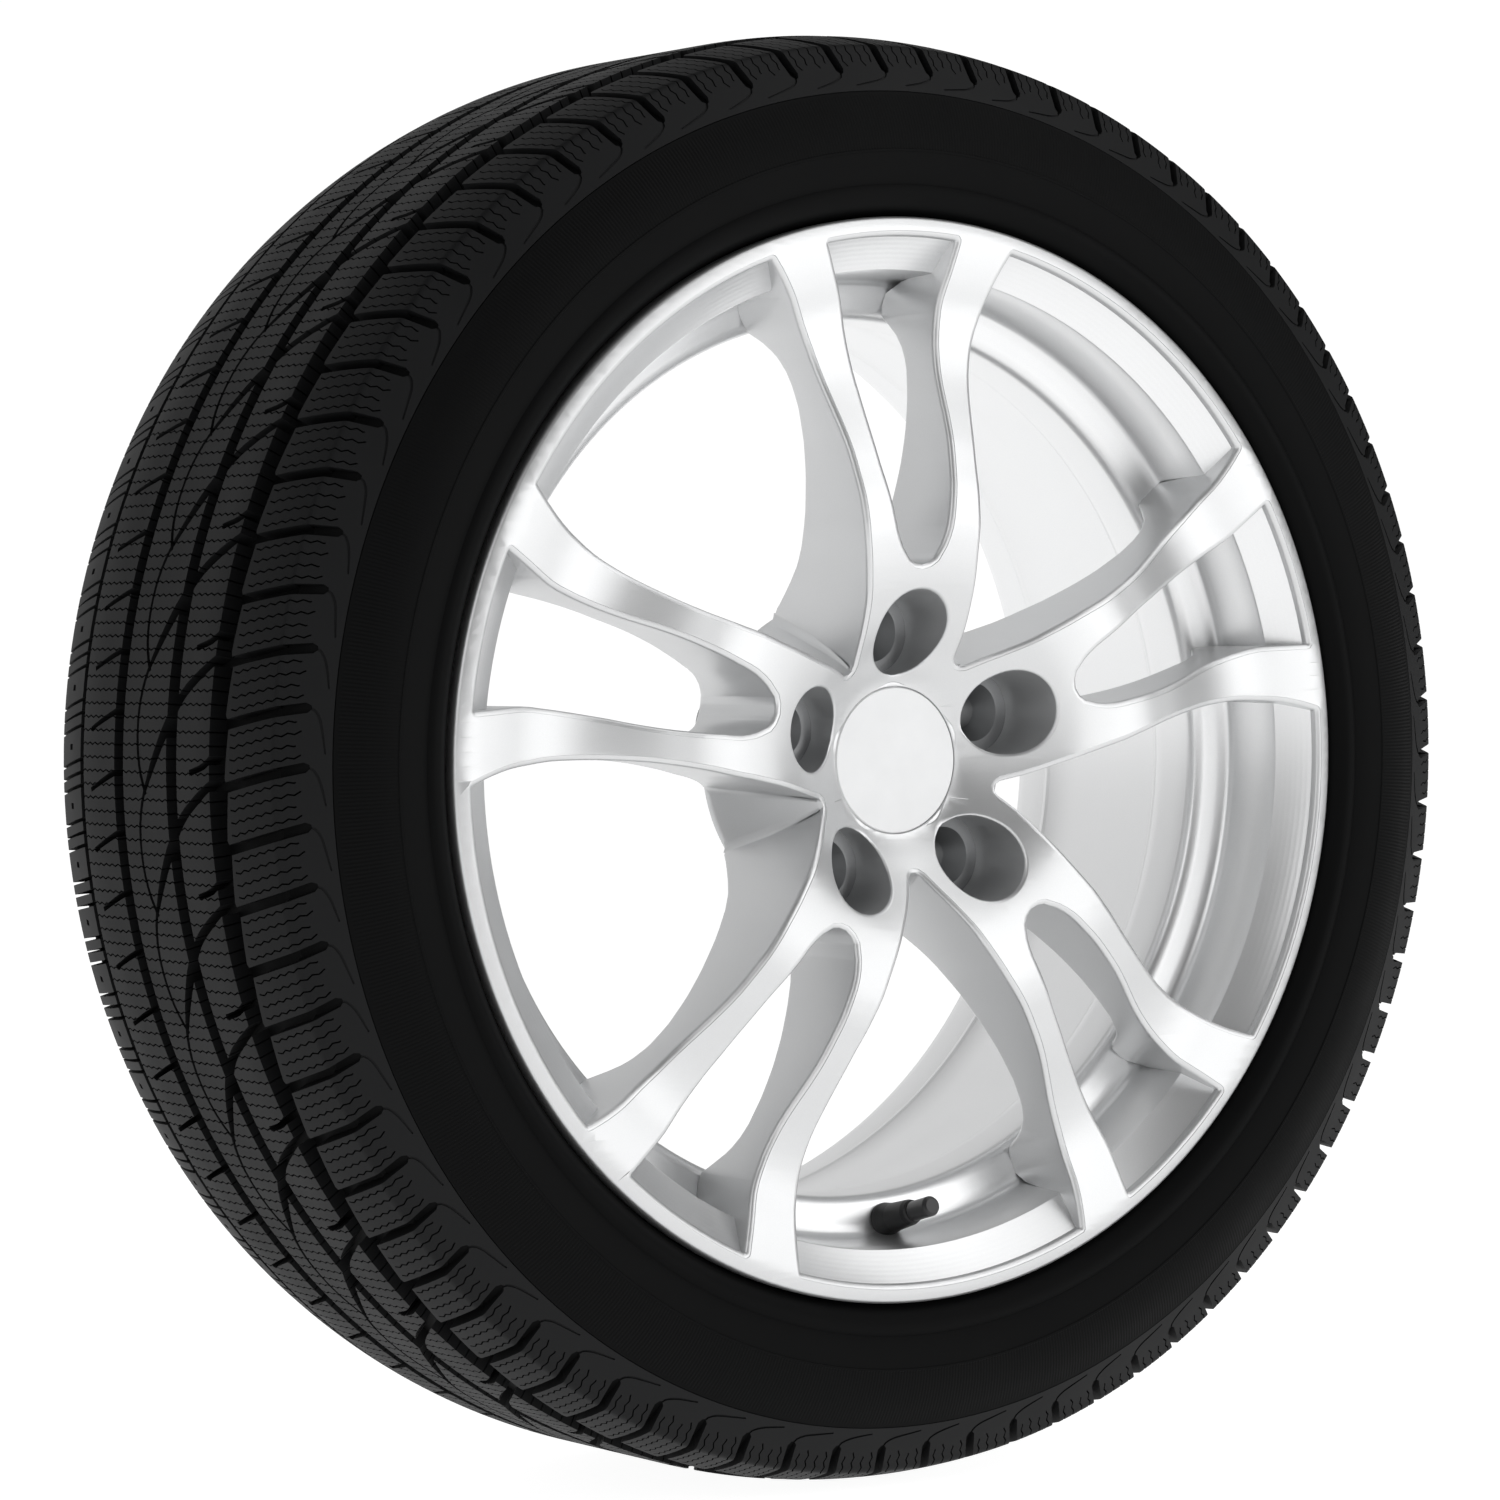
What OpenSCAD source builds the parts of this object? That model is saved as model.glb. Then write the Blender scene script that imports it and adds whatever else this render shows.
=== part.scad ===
// Winter tyre mounted on a five-fork cast alloy wheel, with its centre cap and snap-in valve.
// Pieces are modelled with their axis along z, z = 0 in the mounting face and z positive
// outboard. on_axle() then lays the axis along y, with the outboard side facing -y.
// Rim outlines are lists of [radius, depth], where depth runs inboard from the outboard flange.

/* [Tyre] */
// Overall diameter of the tyre
tyre_od = 638.2; // [630:0.2:650]
// Section width from sidewall to sidewall
section_w = 225; // [222:1:232]
// Width of the tread from shoulder edge to shoulder edge
tread_w = 184; // [180:1:190]
// Half width of the flat middle of the crown
crown_flat = 40; // [30:1:50]
// Radius that the crown curves down with towards the shoulders
crown_arc = 164; // [140:1:200]
// Height above the rim's edge at which the sidewall is widest
belly_h = 27.4; // [25:0.2:30]
// Depth of the circumferential grooves
groove_depth = 8.2; // [7:0.1:9]
// Depth of the lateral and diagonal grooves
lateral_depth = 7.2; // [5:0.1:7.6]
// Thickness of rubber and belts under the groove floors
under_tread = 7.4; // [6:0.1:9]
// Number of shoulder blocks around the tyre
pitches = 78; // [60:2:80]
// Width of the lateral grooves across the outboard shoulder
shoulder_groove_w = 4.5; // [3:0.1:6]
// Width of the lateral grooves across the inboard shoulder
inner_groove_w = 3.4; // [2:0.1:5]

/* [Rim] */
// Bead seat diameter of the rim
rim_d = 436.6; // [433:0.2:438]
// Width between the rim flanges, where the beads sit
rim_w = 190.5; // [184:0.5:194]
// Thickness of a flange with its lip
flange_t = 12.7; // [11:0.1:14]
// Height of a flange above the bead seat
flange_h = 17.3; // [16:0.1:18]
// Drop of the well below the bead seat
well_drop = 20; // [18:0.5:22]
// Thickness of the barrel wall
barrel_wall = 5; // [4.5:0.1:6]
// Distance of the mounting face outboard of the rim's middle plane
wheel_offset = 42; // [38:0.5:45]

/* [Spokes] */
// Number of forks, each with one wheel bolt in its root
forks = 5; // [4:1:5]
// Angle of the first fork, seen from outboard
fork_angle = 93.6; // [80:0.1:110]
// Width of metal left on each side of a bolt well
boss_wall = 9.8; // [8:0.1:11]
// Metal between a bolt well and the open slot of its fork
slot_wall = 11; // [8:0.1:14]

/* [Hub] */
// Diameter of the hub bore
hub_bore_d = 57.1; // [54:0.1:57.4]
// Length of the hub bore
hub_bore_l = 14; // [10:0.5:18]
// Diameter of the circle that the wheel bolts lie on
bolt_circle_d = 112; // [110:0.5:114]
// Diameter of a bolt well
bolt_well_d = 36.9; // [34:0.1:38]
// Diameter of a bolt hole
bolt_hole_d = 14.6; // [13:0.1:15.5]
// Metal between the floor of a bolt well and the mounting face
bolt_floor_t = 36; // [30:0.5:40]
// Diameter of the mounting face
pad_d = 140; // [136:1:144]

/* [Centre cap] */
// Diameter of the cap's disc
cap_d = 64; // [62:0.1:66]
// Thickness of the cap's disc
cap_t = 3; // [2.5:0.1:4]
// Gap around the cap's disc
cap_gap = 0.2; // [0.1:0.05:0.4]
// Diameter of the bore that the cap's legs clip into
clip_bore_d = 56; // [52:0.1:56.4]
// Number of legs on the cap
cap_legs = 8; // [6:1:10]

/* [Valve] */
// Angle of the valve around the wheel, seen from outboard
valve_angle = -86; // [-92:0.5:-82]
// Tilt of the valve from the axle towards the hub
valve_tilt = 15; // [12:0.5:18]
// Diameter of the valve hole
valve_hole_d = 11.5; // [11.3:0.1:11.7]
// Length of the valve outside the rim, up to the stem's end
stem_l = 34.5; // [33:0.5:38]
// Diameter of the threaded end of the stem
stem_d = 7.7; // [7.5:0.1:7.8]
// Length of the rubber outside the rim
valve_rubber_l = 22.8; // [20:0.1:24]
// Outside diameter of the dust cap
dust_cap_d = 9; // [8.8:0.1:10]

/* [Hidden] */
$fn = 96;

// Running clearance between pieces that fit into each other
fit = 0.05;
// How far cutting shapes reach past the surfaces they cut
reach = 2;

tyre_r = tyre_od / 2;
seat_r = rim_d / 2;
lip_r = seat_r + flange_h;
belly_r = lip_r + belly_h;
well_r = seat_r - well_drop;
rim_total_w = rim_w + 2 * flange_t;
flange_z = rim_total_w / 2 - wheel_offset;
window_r = seat_r + 11;
lip_depth = -1.3;

// Outline helpers
function catmull(a, b, c, d, t) =
    (2 * b + (c - a) * t + (2 * a - 5 * b + 4 * c - d) * t * t
     + (3 * b - a - 3 * c + d) * t * t * t) / 2;
function spline(p, steps) =
    let (last = len(p) - 1)
    [for (i = [0 : last - 1], j = [0 : steps - 1])
        catmull(p[max(i - 1, 0)], p[i], p[i + 1], p[min(i + 2, last)], j / steps),
     p[last]];
function reversed(p) = [for (i = [len(p) - 1 : -1 : 0]) p[i]];
function mirrored(p) = reversed([for (q = p) [-q[0], q[1]]]);
function turned(p, angle) =
    [p[0] * cos(angle) - p[1] * sin(angle), p[0] * sin(angle) + p[1] * cos(angle)];
function at_seat(p) = [for (q = p) [seat_r + q[0], q[1]]];
function to_z(p) = [for (q = p) [q[0], flange_z - q[1]]];
function flipped(p) = reversed([for (q = p) [q[0], rim_total_w - q[1]]]);

// Ribbon of the given widths along a bent line, as an outline
function side(p, w, sign) =
    [for (i = [0 : len(p) - 1])
        let (along = p[min(i + 1, len(p) - 1)] - p[max(i - 1, 0)])
        p[i] + sign * w[i] / 2 / norm(along) * [-along[1], along[0]]];
function ribbon(p, w) = concat(side(p, w, 1), reversed(side(p, w, -1)));

module on_axle() rotate([90, 0, 0]) children();
module revolve(outline) rotate_extrude() polygon(outline);
module around(count, start = 0) {
    for (i = [0 : count - 1]) rotate([0, 0, start + i * 360 / count]) children();
}

// Tyre
crown_points = [0, 0.43, 0.54, 0.66, 0.78, 0.9, 1];
buttress_l = 32;
belly_arc = 36;
belly_half_h = 15;
protector_w = 1.2;
bead_gap = 0.1;
bead_foot = 16;
side_wall = 8;

function crown_drop(z) = pow(max(abs(z) - crown_flat, 0), 2) / (2 * crown_arc);
function crown_r(z) = tyre_r - crown_drop(z);
function belly_z(r) = section_w / 2 - pow(r - belly_r, 2) / (2 * belly_arc);
function seat_at(z) = seat_r - (rim_w / 2 - 3.7 - z) * tan(5) + bead_gap;

tread_half = tread_w / 2;
shoulder_r = crown_r(tread_half);
bead_z = rim_w / 2 - bead_gap;
belly_low = belly_r - belly_half_h;
belly_high = belly_r + belly_half_h;

tread_outline = [for (f = crown_points) [crown_r(f * tread_half), f * tread_half]];
side_outline = concat(
    [[shoulder_r - 1.4, tread_half + 1.6],
     [shoulder_r - buttress_l + 3, belly_z(belly_high) - 1.4]],
    [for (i = [0 : 6])
        let (r = belly_high + (belly_low - belly_high) * i / 6) [r, belly_z(r)]],
    [[lip_r + 10.4, belly_z(belly_low) + protector_w],
     [lip_r + 7.4, belly_z(belly_low) + protector_w - 0.6],
     [lip_r + 4.2, rim_total_w / 2 - 1],
     [lip_r + 1, rim_total_w / 2 - 4],
     [lip_r + 0.6, rim_total_w / 2 - 9],
     [lip_r - 0.6, bead_z + 1.2],
     [lip_r - 4, bead_z],
     [seat_r + 6.3, bead_z],
     [seat_r + 2.5, bead_z - 1.3],
     [seat_at(bead_z - 4.1), bead_z - 4.1],
     [seat_at(bead_z - 4.1 - bead_foot), bead_z - 4.1 - bead_foot]]);
inside_outline = spline(
    [[seat_r + 0.4, bead_z - 5.2 - bead_foot],
     [seat_r + 12, bead_z - 16],
     [seat_r + 26, section_w / 2 - 22],
     [belly_r - 8, section_w / 2 - side_wall - 3],
     [belly_r + 6, section_w / 2 - side_wall],
     [belly_r + 22, section_w / 2 - side_wall - 6],
     [shoulder_r - groove_depth - under_tread, tread_half - 8],
     [tyre_r - groove_depth - under_tread, crown_flat / 2],
     [tyre_r - groove_depth - under_tread + 0.8, 0]], 3);
half_tyre = concat(tread_outline, side_outline, inside_outline);

// Circumferential grooves as [middle, width], outboard positive
grooves = [[59, 12], [21.5, 9], [-25, 8], [-61, 4]];

module tyre_ring() {
    rotate_extrude() difference() {
        polygon(concat(half_tyre, [for (p = reversed(half_tyre)) if (p[1] > 0) [p[0], -p[1]]]));
        for (g = grooves)
            translate([crown_r(g[0]) - groove_depth, g[0] - g[1] / 2])
                square([2 * groove_depth, g[1]]);
    }
}

// Cutter through the tread. Its outline is [along the tread, across it], and its floor lies
// lateral_depth below the crown at across = pivot, from where it leans down with the shoulder
module tread_cut(outline, pivot = 0, lean = 0) {
    translate([crown_r(pivot) - lateral_depth, 0, pivot])
        rotate([0, -lean, 0])
            rotate([90, 0, 90])
                linear_extrude(4 * groove_depth)
                    polygon([for (p = outline) p - [0, pivot]]);
}

seam_step = 0.37;
shoulder_lean = 19;
shoulder_slant = 0.21;
shoulder_end = tread_half + 24;
shoulder_inner = 62;
inner_slant = 0.16;
inner_start = -60.4;

// Bent line with its widths, from the outboard groove to the centre rib
diagonal = [[-29, 58], [-12.5, 30], [0, 18], [13, 8], [28, -2]];
diagonal_w = [3.6, 5, 6, 4.6, 2.6];
notch = [[-3, 60], [4, 49], [7, 37]];
notch_w = [3.4, 3, 2.6];
rib_notch = [[-4, -22], [-1, -34], [5, -51]];
rib_notch_w = [2.8, 2.5, 2.2];

module tyre() {
    color("#26282a") on_axle() translate([0, 0, -wheel_offset]) difference() {
        tyre_ring();
        around(pitches, seam_step)
            tread_cut(ribbon([[(tread_half - shoulder_end) * shoulder_slant, shoulder_end],
                              [(tread_half - shoulder_inner) * shoulder_slant, shoulder_inner]],
                             [shoulder_groove_w, shoulder_groove_w]),
                      65, shoulder_lean);
        around(pitches, 2 * seam_step)
            tread_cut(ribbon([[0, inner_start],
                              [(shoulder_end + inner_start) * inner_slant, -shoulder_end]],
                             [inner_groove_w, inner_groove_w]),
                      -65, -shoulder_lean);
        around(pitches, 3 * seam_step) tread_cut(ribbon(rib_notch, rib_notch_w));
        around(pitches / 2, 4 * seam_step) tread_cut(ribbon(diagonal, diagonal_w));
        around(pitches / 2, 4 * seam_step + 180 / pitches) tread_cut(ribbon(notch, notch_w));
    }
}

// Rim
seat_taper = 16.5 * tan(5);
flange_outline = at_seat([
    [flange_h - 1.4, 0], [flange_h, 1.4], [flange_h, flange_t - 4.2],
    [flange_h - 0.8, flange_t - 2.2], [flange_h - 3.6, flange_t - 0.7],
    [flange_h - 7.6, flange_t], [5.7, flange_t], [1.7, flange_t + 1.1],
    [0, flange_t + 3.8]]);
hump_outline = at_seat([
    [-seat_taper, flange_t + 20.3], [-seat_taper + 0.8, flange_t + 23.3],
    [-seat_taper + 0.5, flange_t + 26.3]]);
well_depth = 50;
well_w = 24;
well_lean = tan(valve_tilt);
wall_shift = barrel_wall * 0.84 / cos(valve_tilt);

// Depth at which the inner face of the well's outboard wall meets a radius
function well_face(r) = well_depth - 3.5 - (r - well_r + 2.3) * well_lean;

outer_outline = concat(
    flange_outline,
    hump_outline,
    [[well_r + 16.5, well_face(well_r + 16.5) + wall_shift],
     [well_r + 2, well_face(well_r + 2) + wall_shift],
     [well_r, well_depth + 3],
     [well_r, well_depth + well_w],
     [well_r + 1, well_depth + well_w + 3],
     [well_r + 7.7, well_depth + well_w + 12]],
    flipped(hump_outline),
    flipped(flange_outline));
// Inner face of the barrel where the forks end on it, from the well's wall to the front edge
barrel_front = [
    [well_r - barrel_wall + 3, well_face(well_r - barrel_wall + 3)],
    [well_r + 9.7, well_face(well_r + 9.7)],
    [seat_r - 8, well_face(well_r + 9.7) - 1.5],
    [seat_r - 7.3, 39],
    [seat_r - 5.3, 13.5],
    [seat_r - 4.3, 12.3],
    [seat_r + 9.3, 2.6],
    [seat_r + 10.5, 1],
    [window_r, lip_depth]];
// The rest of it, from the inboard flange on
inner_outline = concat([
    [seat_r + 12.7, rim_total_w],
    [seat_r + 10.7, rim_total_w - 2.9],
    [seat_r + 7.7, rim_total_w - 6.4],
    [seat_r + 1.7, rim_total_w - 7.9],
    [seat_r - 3.8, rim_total_w - 9.9],
    [seat_r - 5.7, rim_total_w - 15.9],
    [seat_r - 6.3, rim_total_w - 29],
    [seat_r - 7.2, rim_total_w - 30.5],
    [well_r - barrel_wall + 7.9, well_depth + well_w + 11],
    [well_r - barrel_wall + 7.5, well_depth + well_w + 9],
    [well_r - barrel_wall + 4, well_depth + well_w + 5],
    [well_r - barrel_wall + 0.7, well_depth + well_w + 1],
    [well_r - barrel_wall, well_depth + well_w - 2],
    [well_r - barrel_wall, well_depth + 2],
    [well_r - barrel_wall + 0.8, well_depth - 1.3]], barrel_front);

module barrel() revolve(to_z(concat(outer_outline, inner_outline)));

// Front face of the forks: the first points keep to the hub, the others to the rim
cap_recess_r = cap_d / 2 + cap_gap;
hub_face_depth = 16.9;
bolt_r = bolt_circle_d / 2;
bolt_well_r = bolt_well_d / 2;
face_points = [
    [cap_recess_r + 3.8, hub_face_depth - 1.4],
    [cap_recess_r + 16.8, 7],
    [bolt_r + 19, -8],
    [bolt_r + 49, -13.3],
    [window_r - 99.3, -10.1],
    [window_r - 79.3, -4.5],
    [window_r - 59.3, 2.1],
    [window_r - 41.3, 4.4],
    [window_r - 19.3, 1.4],
    [window_r - fit, lip_depth]];
// How far the mounting face stands out from the back of the forks
pad_step = 3.95;
// Back of the forks, from the barrel wall to the hub
back_points = [
    [well_r - 5.8, well_depth - 4.5],
    [well_r - 9.3, well_depth - 11.5],
    [well_r - 15.3, 31],
    [window_r - 57.3, 26],
    [window_r - 69.3, 25],
    [window_r - 84.3, 26.5],
    [window_r - 99.3, 29],
    [bolt_r + 59, 32.5],
    [bolt_r + 44, 38],
    [bolt_r + 29, 49.5],
    [bolt_r + 18.6, flange_z - pad_step]];
disc_outline = concat(
    [[0, hub_face_depth], [cap_recess_r + 1.4, hub_face_depth]],
    spline(face_points, 2),
    [for (i = [len(barrel_front) - 2 : -1 : 0]) barrel_front[i] - [fit, fit]],
    back_points,
    [[0, flange_z - pad_step]]);

// Slot inside a fork: half widths along the fork's line
slot_start = bolt_r + bolt_well_r + slot_wall;
slot_half = [
    [0, slot_start], [6.5, slot_start + 2.6], [10.2, slot_start + 8],
    [13.2, slot_start + 15.6], [16.9, slot_start + 34.6], [19.7, window_r - 89.3],
    [21, window_r - 69.3], [22.8, window_r - 49.3], [25.8, window_r - 29.3],
    [30.5, window_r - 15.3], [38.5, window_r + 8]];
// Outer edge of a fork, from the notch at the hub to past the window's corner
leg_root = bolt_well_r + boss_wall;
fork_edge = [
    [leg_root, bolt_r + 2], [leg_root + 0.6, bolt_r + 14], [leg_root + 2, bolt_r + 34],
    [leg_root + 4.2, bolt_r + 64], [leg_root + 6.6, window_r - 89.3],
    [leg_root + 10.7, window_r - 69.3], [leg_root + 16.3, window_r - 49.3],
    [leg_root + 24.6, window_r - 29.3], [leg_root + 37.8, window_r - 9.3],
    [leg_root + 52, window_r + 6]];
notch_r = cap_recess_r + 17.3;
half_pitch = 180 / forks;

module disc_prism(outline) {
    translate([0, 0, -reach]) linear_extrude(flange_z + 20) polygon(outline);
}
module slot_prism() {
    edge = spline(slot_half, 3);
    disc_prism(concat(edge, [for (p = mirrored(edge)) if (p[0] < 0) p]));
}
module window_prism() {
    edge = [for (p = spline(fork_edge, 3)) let (q = turned(p, half_pitch)) [-q[0], q[1]]];
    disc_prism(concat([[0, notch_r], [3.4, notch_r + 1.1], [5.4, notch_r + 4]], edge,
                      [[0, window_r + 12]], mirrored(edge),
                      [[-5.4, notch_r + 4], [-3.4, notch_r + 1.1]]));
}

// The hub takes the forks' feet up to a flat face across each of them, just past its bolt well
foot_r = bolt_r + bolt_well_r + 2.5;
foot_corner_r = foot_r / cos(half_pitch);
module hub_feet() {
    intersection() {
        difference() {
            revolve(to_z(disc_outline));
            around(forks, fork_angle - 90 + half_pitch) window_prism();
        }
        rotate([0, 0, fork_angle]) disc_prism([
            for (i = [0 : forks - 1]) foot_corner_r * [cos((2 * i + 1) * half_pitch), sin((2 * i + 1) * half_pitch)]]);
    }
}
// One fork in its own frame, pointing along y
module fork_arm() {
    intersection() {
        difference() {
            revolve(to_z(disc_outline));
            slot_prism();
            rotate([0, 0, half_pitch]) window_prism();
            rotate([0, 0, -half_pitch]) window_prism();
        }
        disc_prism([[-foot_r * tan(half_pitch), foot_r], [foot_r * tan(half_pitch), foot_r],
                    [tyre_r * tan(half_pitch), tyre_r], [-tyre_r * tan(half_pitch), tyre_r]]);
    }
}
module hub_boss() {
    revolve(to_z([[0, hub_face_depth + 3], [cap_recess_r + 8, hub_face_depth],
                  [notch_r - 0.3, 7.5], [notch_r + 5.5, 20], [notch_r + 11.5, 36],
                  [notch_r + 16, 50], [pad_d / 2 - 1.2, flange_z - 4.95], [pad_d / 2, flange_z],
                  [0, flange_z]]));
}

// Bores for the cap and for the hub's spigot, along the axle
cap_seat_z = flange_z - hub_face_depth - cap_t;
clip_l = 11;
relief_r = clip_bore_d / 2 + 2;
clip_end_z = cap_seat_z - clip_l;
module centre_bores() {
    revolve([[0, -reach], [hub_bore_d / 2 + 1, -reach], [hub_bore_d / 2 + 1, 0],
             [hub_bore_d / 2, 1], [hub_bore_d / 2, hub_bore_l],
             [relief_r, hub_bore_l + 1], [relief_r, clip_end_z],
             [clip_bore_d / 2, clip_end_z], [clip_bore_d / 2, cap_seat_z],
             [cap_recess_r, cap_seat_z], [cap_recess_r, flange_z],
             [0, flange_z]]);
}
module bolt_bore() {
    seat_top_r = 13;
    seat_h = (seat_top_r - bolt_hole_d / 2) / tan(30);
    translate([bolt_r, 0, 0]) revolve([
        [0, -reach], [bolt_hole_d / 2, -reach], [bolt_hole_d / 2, bolt_floor_t - seat_h],
        [seat_top_r, bolt_floor_t], [bolt_well_r, bolt_floor_t],
        [bolt_well_r, flange_z + 20], [0, flange_z + 20]]);
}
// Cast pocket in the mounting face between two bolt holes
module pad_pocket() {
    translate([0, 0, -reach]) linear_extrude(16 + reach) {
        translate([bolt_r - 11, 0]) circle(6.5);
        translate([bolt_r - 6, 0]) circle(8);
    }
}

// Valve's own frame: origin where its axis meets the outboard face of the well's wall
valve_r = well_r + 6.7;
valve_z = flange_z - well_face(valve_r);
well_wall = wall_shift * cos(valve_tilt);
module at_valve() {
    rotate([0, 0, valve_angle])
        translate([valve_r, 0, valve_z])
            rotate([0, -valve_tilt, 0]) children();
}
rubber_seat_r = 7.6;
spot_r = rubber_seat_r + 0.3;
spot_t = 0.25;
spot_h = 4;
module valve_bore() {
    at_valve() {
        translate([0, 0, -well_wall - reach]) cylinder(d = valve_hole_d, h = well_wall + 2 * reach);
        translate([0, 0, -spot_t]) cylinder(r = spot_r, h = spot_h + spot_t);
        translate([0, 0, -well_wall - spot_h]) cylinder(r = spot_r, h = spot_h + spot_t);
    }
}

// The rim's barrel with its flanges
module rim_barrel() {
    color("#c9ccd0") on_axle() difference() {
        barrel();
        valve_bore();
    }
}
// The rim's hub, with the feet of the forks
module rim_hub() {
    color("#c9ccd0") on_axle() difference() {
        union() {
            hub_feet();
            hub_boss();
        }
        centre_bores();
        around(forks, fork_angle) bolt_bore();
        around(forks, fork_angle + half_pitch) pad_pocket();
    }
}
// The rim's forks, numbered anticlockwise from the one at the top
module fork(i) {
    color("#c9ccd0") on_axle() rotate([0, 0, fork_angle - 90 + 2 * half_pitch * i]) fork_arm();
}

// Centre cap: a disc in the recess, with legs that snap behind the end of the clip bore
leg_r = clip_bore_d / 2 - 0.15;
leg_t = 1.8;
leg_l = clip_l + 3.2;
hook = 1;
wire_r = 0.8;
wire_z = cap_seat_z - 6;
module centre_cap() {
    disc_top = cap_seat_z + cap_t;
    color("#dcdee0") on_axle() difference() {
        revolve([[0, cap_seat_z + 0.6], [leg_r - leg_t, cap_seat_z + 0.6],
                 [leg_r - leg_t, cap_seat_z - leg_l], [leg_r - 0.4, cap_seat_z - leg_l],
                 [leg_r + hook, clip_end_z - 1.2], [leg_r + hook, clip_end_z - fit],
                 [leg_r, clip_end_z - fit], [leg_r, cap_seat_z + fit],
                 [cap_d / 2, cap_seat_z + fit], [cap_d / 2, disc_top - 0.6],
                 [cap_d / 2 - 0.6, disc_top], [0, disc_top]]);
        for (i = [0 : cap_legs - 1])
            rotate([0, 0, (i + 0.5) * 360 / cap_legs])
                translate([leg_r - leg_t - 2, -4, cap_seat_z - leg_l - reach])
                    cube([leg_t + hook + 4, 8, leg_l + reach - 1]);
    }
}
module cap_spring_ring() {
    color("#8d9093") on_axle()
        rotate([0, 0, 10]) rotate_extrude(angle = 340)
            translate([leg_r - leg_t - wire_r - fit, wire_z]) circle(wire_r, $fn = 24);
}

// Valve
thread_r = stem_d / 2;
stem_foot_r = 3.1;
stem_bore_r = 2;
core_chamber_r = 2.6;
bulb_l = 10;
core_top = stem_l - 0.5;
core_thread_l = 5;
core_l = 9;
module valve_body() {
    in_z = -well_wall + spot_t - fit;
    out_z = -spot_t + fit;
    hole_r = valve_hole_d / 2 - fit;
    color("#1b1b1c") on_axle() at_valve() revolve([
        [stem_foot_r, in_z - bulb_l], [rubber_seat_r - 1.2, in_z - bulb_l],
        [rubber_seat_r, in_z - 2], [rubber_seat_r, in_z], [hole_r, in_z], [hole_r, out_z],
        [rubber_seat_r, out_z], [rubber_seat_r, 1.6], [7, 4.4], [6.4, 8],
        [6.1, 14], [5.8, valve_rubber_l - 3], [5.2, valve_rubber_l - 0.8],
        [4.4, valve_rubber_l], [stem_foot_r, valve_rubber_l]]);
}
module valve_stem() {
    bottom = -well_wall - bulb_l;
    color("#c2a35a") on_axle() at_valve() revolve([
        [stem_bore_r, bottom - 1], [stem_foot_r + 1.6, bottom - 1],
        [stem_foot_r + 1.6, bottom + spot_t - fit * 2], [stem_foot_r - fit, bottom + spot_t - fit * 2],
        [stem_foot_r - fit, valve_rubber_l + fit], [thread_r, valve_rubber_l + fit],
        [thread_r, stem_l - 0.8], [thread_r - 0.8, stem_l], [core_chamber_r, stem_l],
        [core_chamber_r, core_top - core_thread_l - 0.6],
        [stem_bore_r, core_top - core_thread_l - 2.2]]);
}
housing_bore_r = 1.2;
pin_hole_r = 0.65;
pin_r = 0.55;
barrel_r = stem_bore_r - 0.2;
gasket_r = barrel_r - 0.2;
cone_z = core_top - core_thread_l;
core_end = core_top - core_l;
module core_housing() {
    color("#b8a06a") on_axle() at_valve() revolve([
        [pin_hole_r, core_end], [barrel_r, core_end],
        [barrel_r, cone_z - 2.4], [gasket_r, cone_z - 2.4], [gasket_r, cone_z - 0.4],
        [core_chamber_r - fit, cone_z - 0.4], [core_chamber_r - fit, core_top],
        [housing_bore_r, core_top], [housing_bore_r, core_end + 0.8],
        [pin_hole_r, core_end + 0.8]]);
}
module core_gasket() {
    color("#7a2f28") on_axle() at_valve() revolve([
        [gasket_r + 0.02, cone_z - 2.38], [stem_bore_r - fit, cone_z - 2.38],
        [stem_bore_r - fit, cone_z - 2.1], [stem_bore_r + 0.3, cone_z - 1.3],
        [stem_bore_r + 0.3, cone_z - 0.42], [gasket_r + 0.02, cone_z - 0.42]]);
}
cup_r = 1.35;
cup_z = core_end - 1.2;
pin_top = stem_l - 0.25;
collar_z = core_top - 1.3;
collar_r = housing_bore_r - 0.1;
module core_pin() {
    color("#d9c68e") on_axle() at_valve() revolve([
        [0, cup_z - 4], [0.9, cup_z - 4], [0.9, cup_z - 0.8], [cup_r, cup_z - 0.8],
        [cup_r, cup_z], [pin_r, cup_z], [pin_r, collar_z], [collar_r, collar_z],
        [collar_r, collar_z + 0.5], [pin_r, collar_z + 0.5], [pin_r, pin_top], [0, pin_top]]);
}
module core_cup_seal() {
    color("#2a2a2a") on_axle() at_valve() revolve([
        [pin_r + fit, cup_z + 0.03], [cup_r, cup_z + 0.03], [cup_r, core_end - 0.03],
        [pin_r + fit, core_end - 0.03]]);
}
// Spring as a ring of eight corners swept along a helix
spring_wire_r = 0.12;
spring_r = (pin_r + housing_bore_r) / 2;
spring_low = core_end + 0.8 + spring_wire_r + 0.02;
spring_high = collar_z - spring_wire_r - 0.02;
spring_turns = 6;
spring_steps = 14;
spring_rings = spring_turns * spring_steps;
module core_spring() {
    points = [for (i = [0 : spring_rings], j = [0 : 7])
        let (turn = 360 * i / spring_steps,
             r = spring_r + spring_wire_r * cos(45 * j),
             z = spring_low + (spring_high - spring_low) * i / spring_rings)
        [r * cos(turn), r * sin(turn), z + spring_wire_r * sin(45 * j)]];
    skin = [for (i = [0 : spring_rings - 1], j = [0 : 7])
        let (a = 8 * i + j, b = 8 * i + (j + 1) % 8)
        [a, a + 8, b + 8, b]];
    ends = [[for (j = [0 : 7]) j], [for (j = [7 : -1 : 0]) 8 * spring_rings + j]];
    color("#9a9da0") on_axle() at_valve() polyhedron(points, concat(skin, ends));
}
cap_base = valve_rubber_l + 0.5;
cap_inner_top = stem_l + 0.8;
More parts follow.
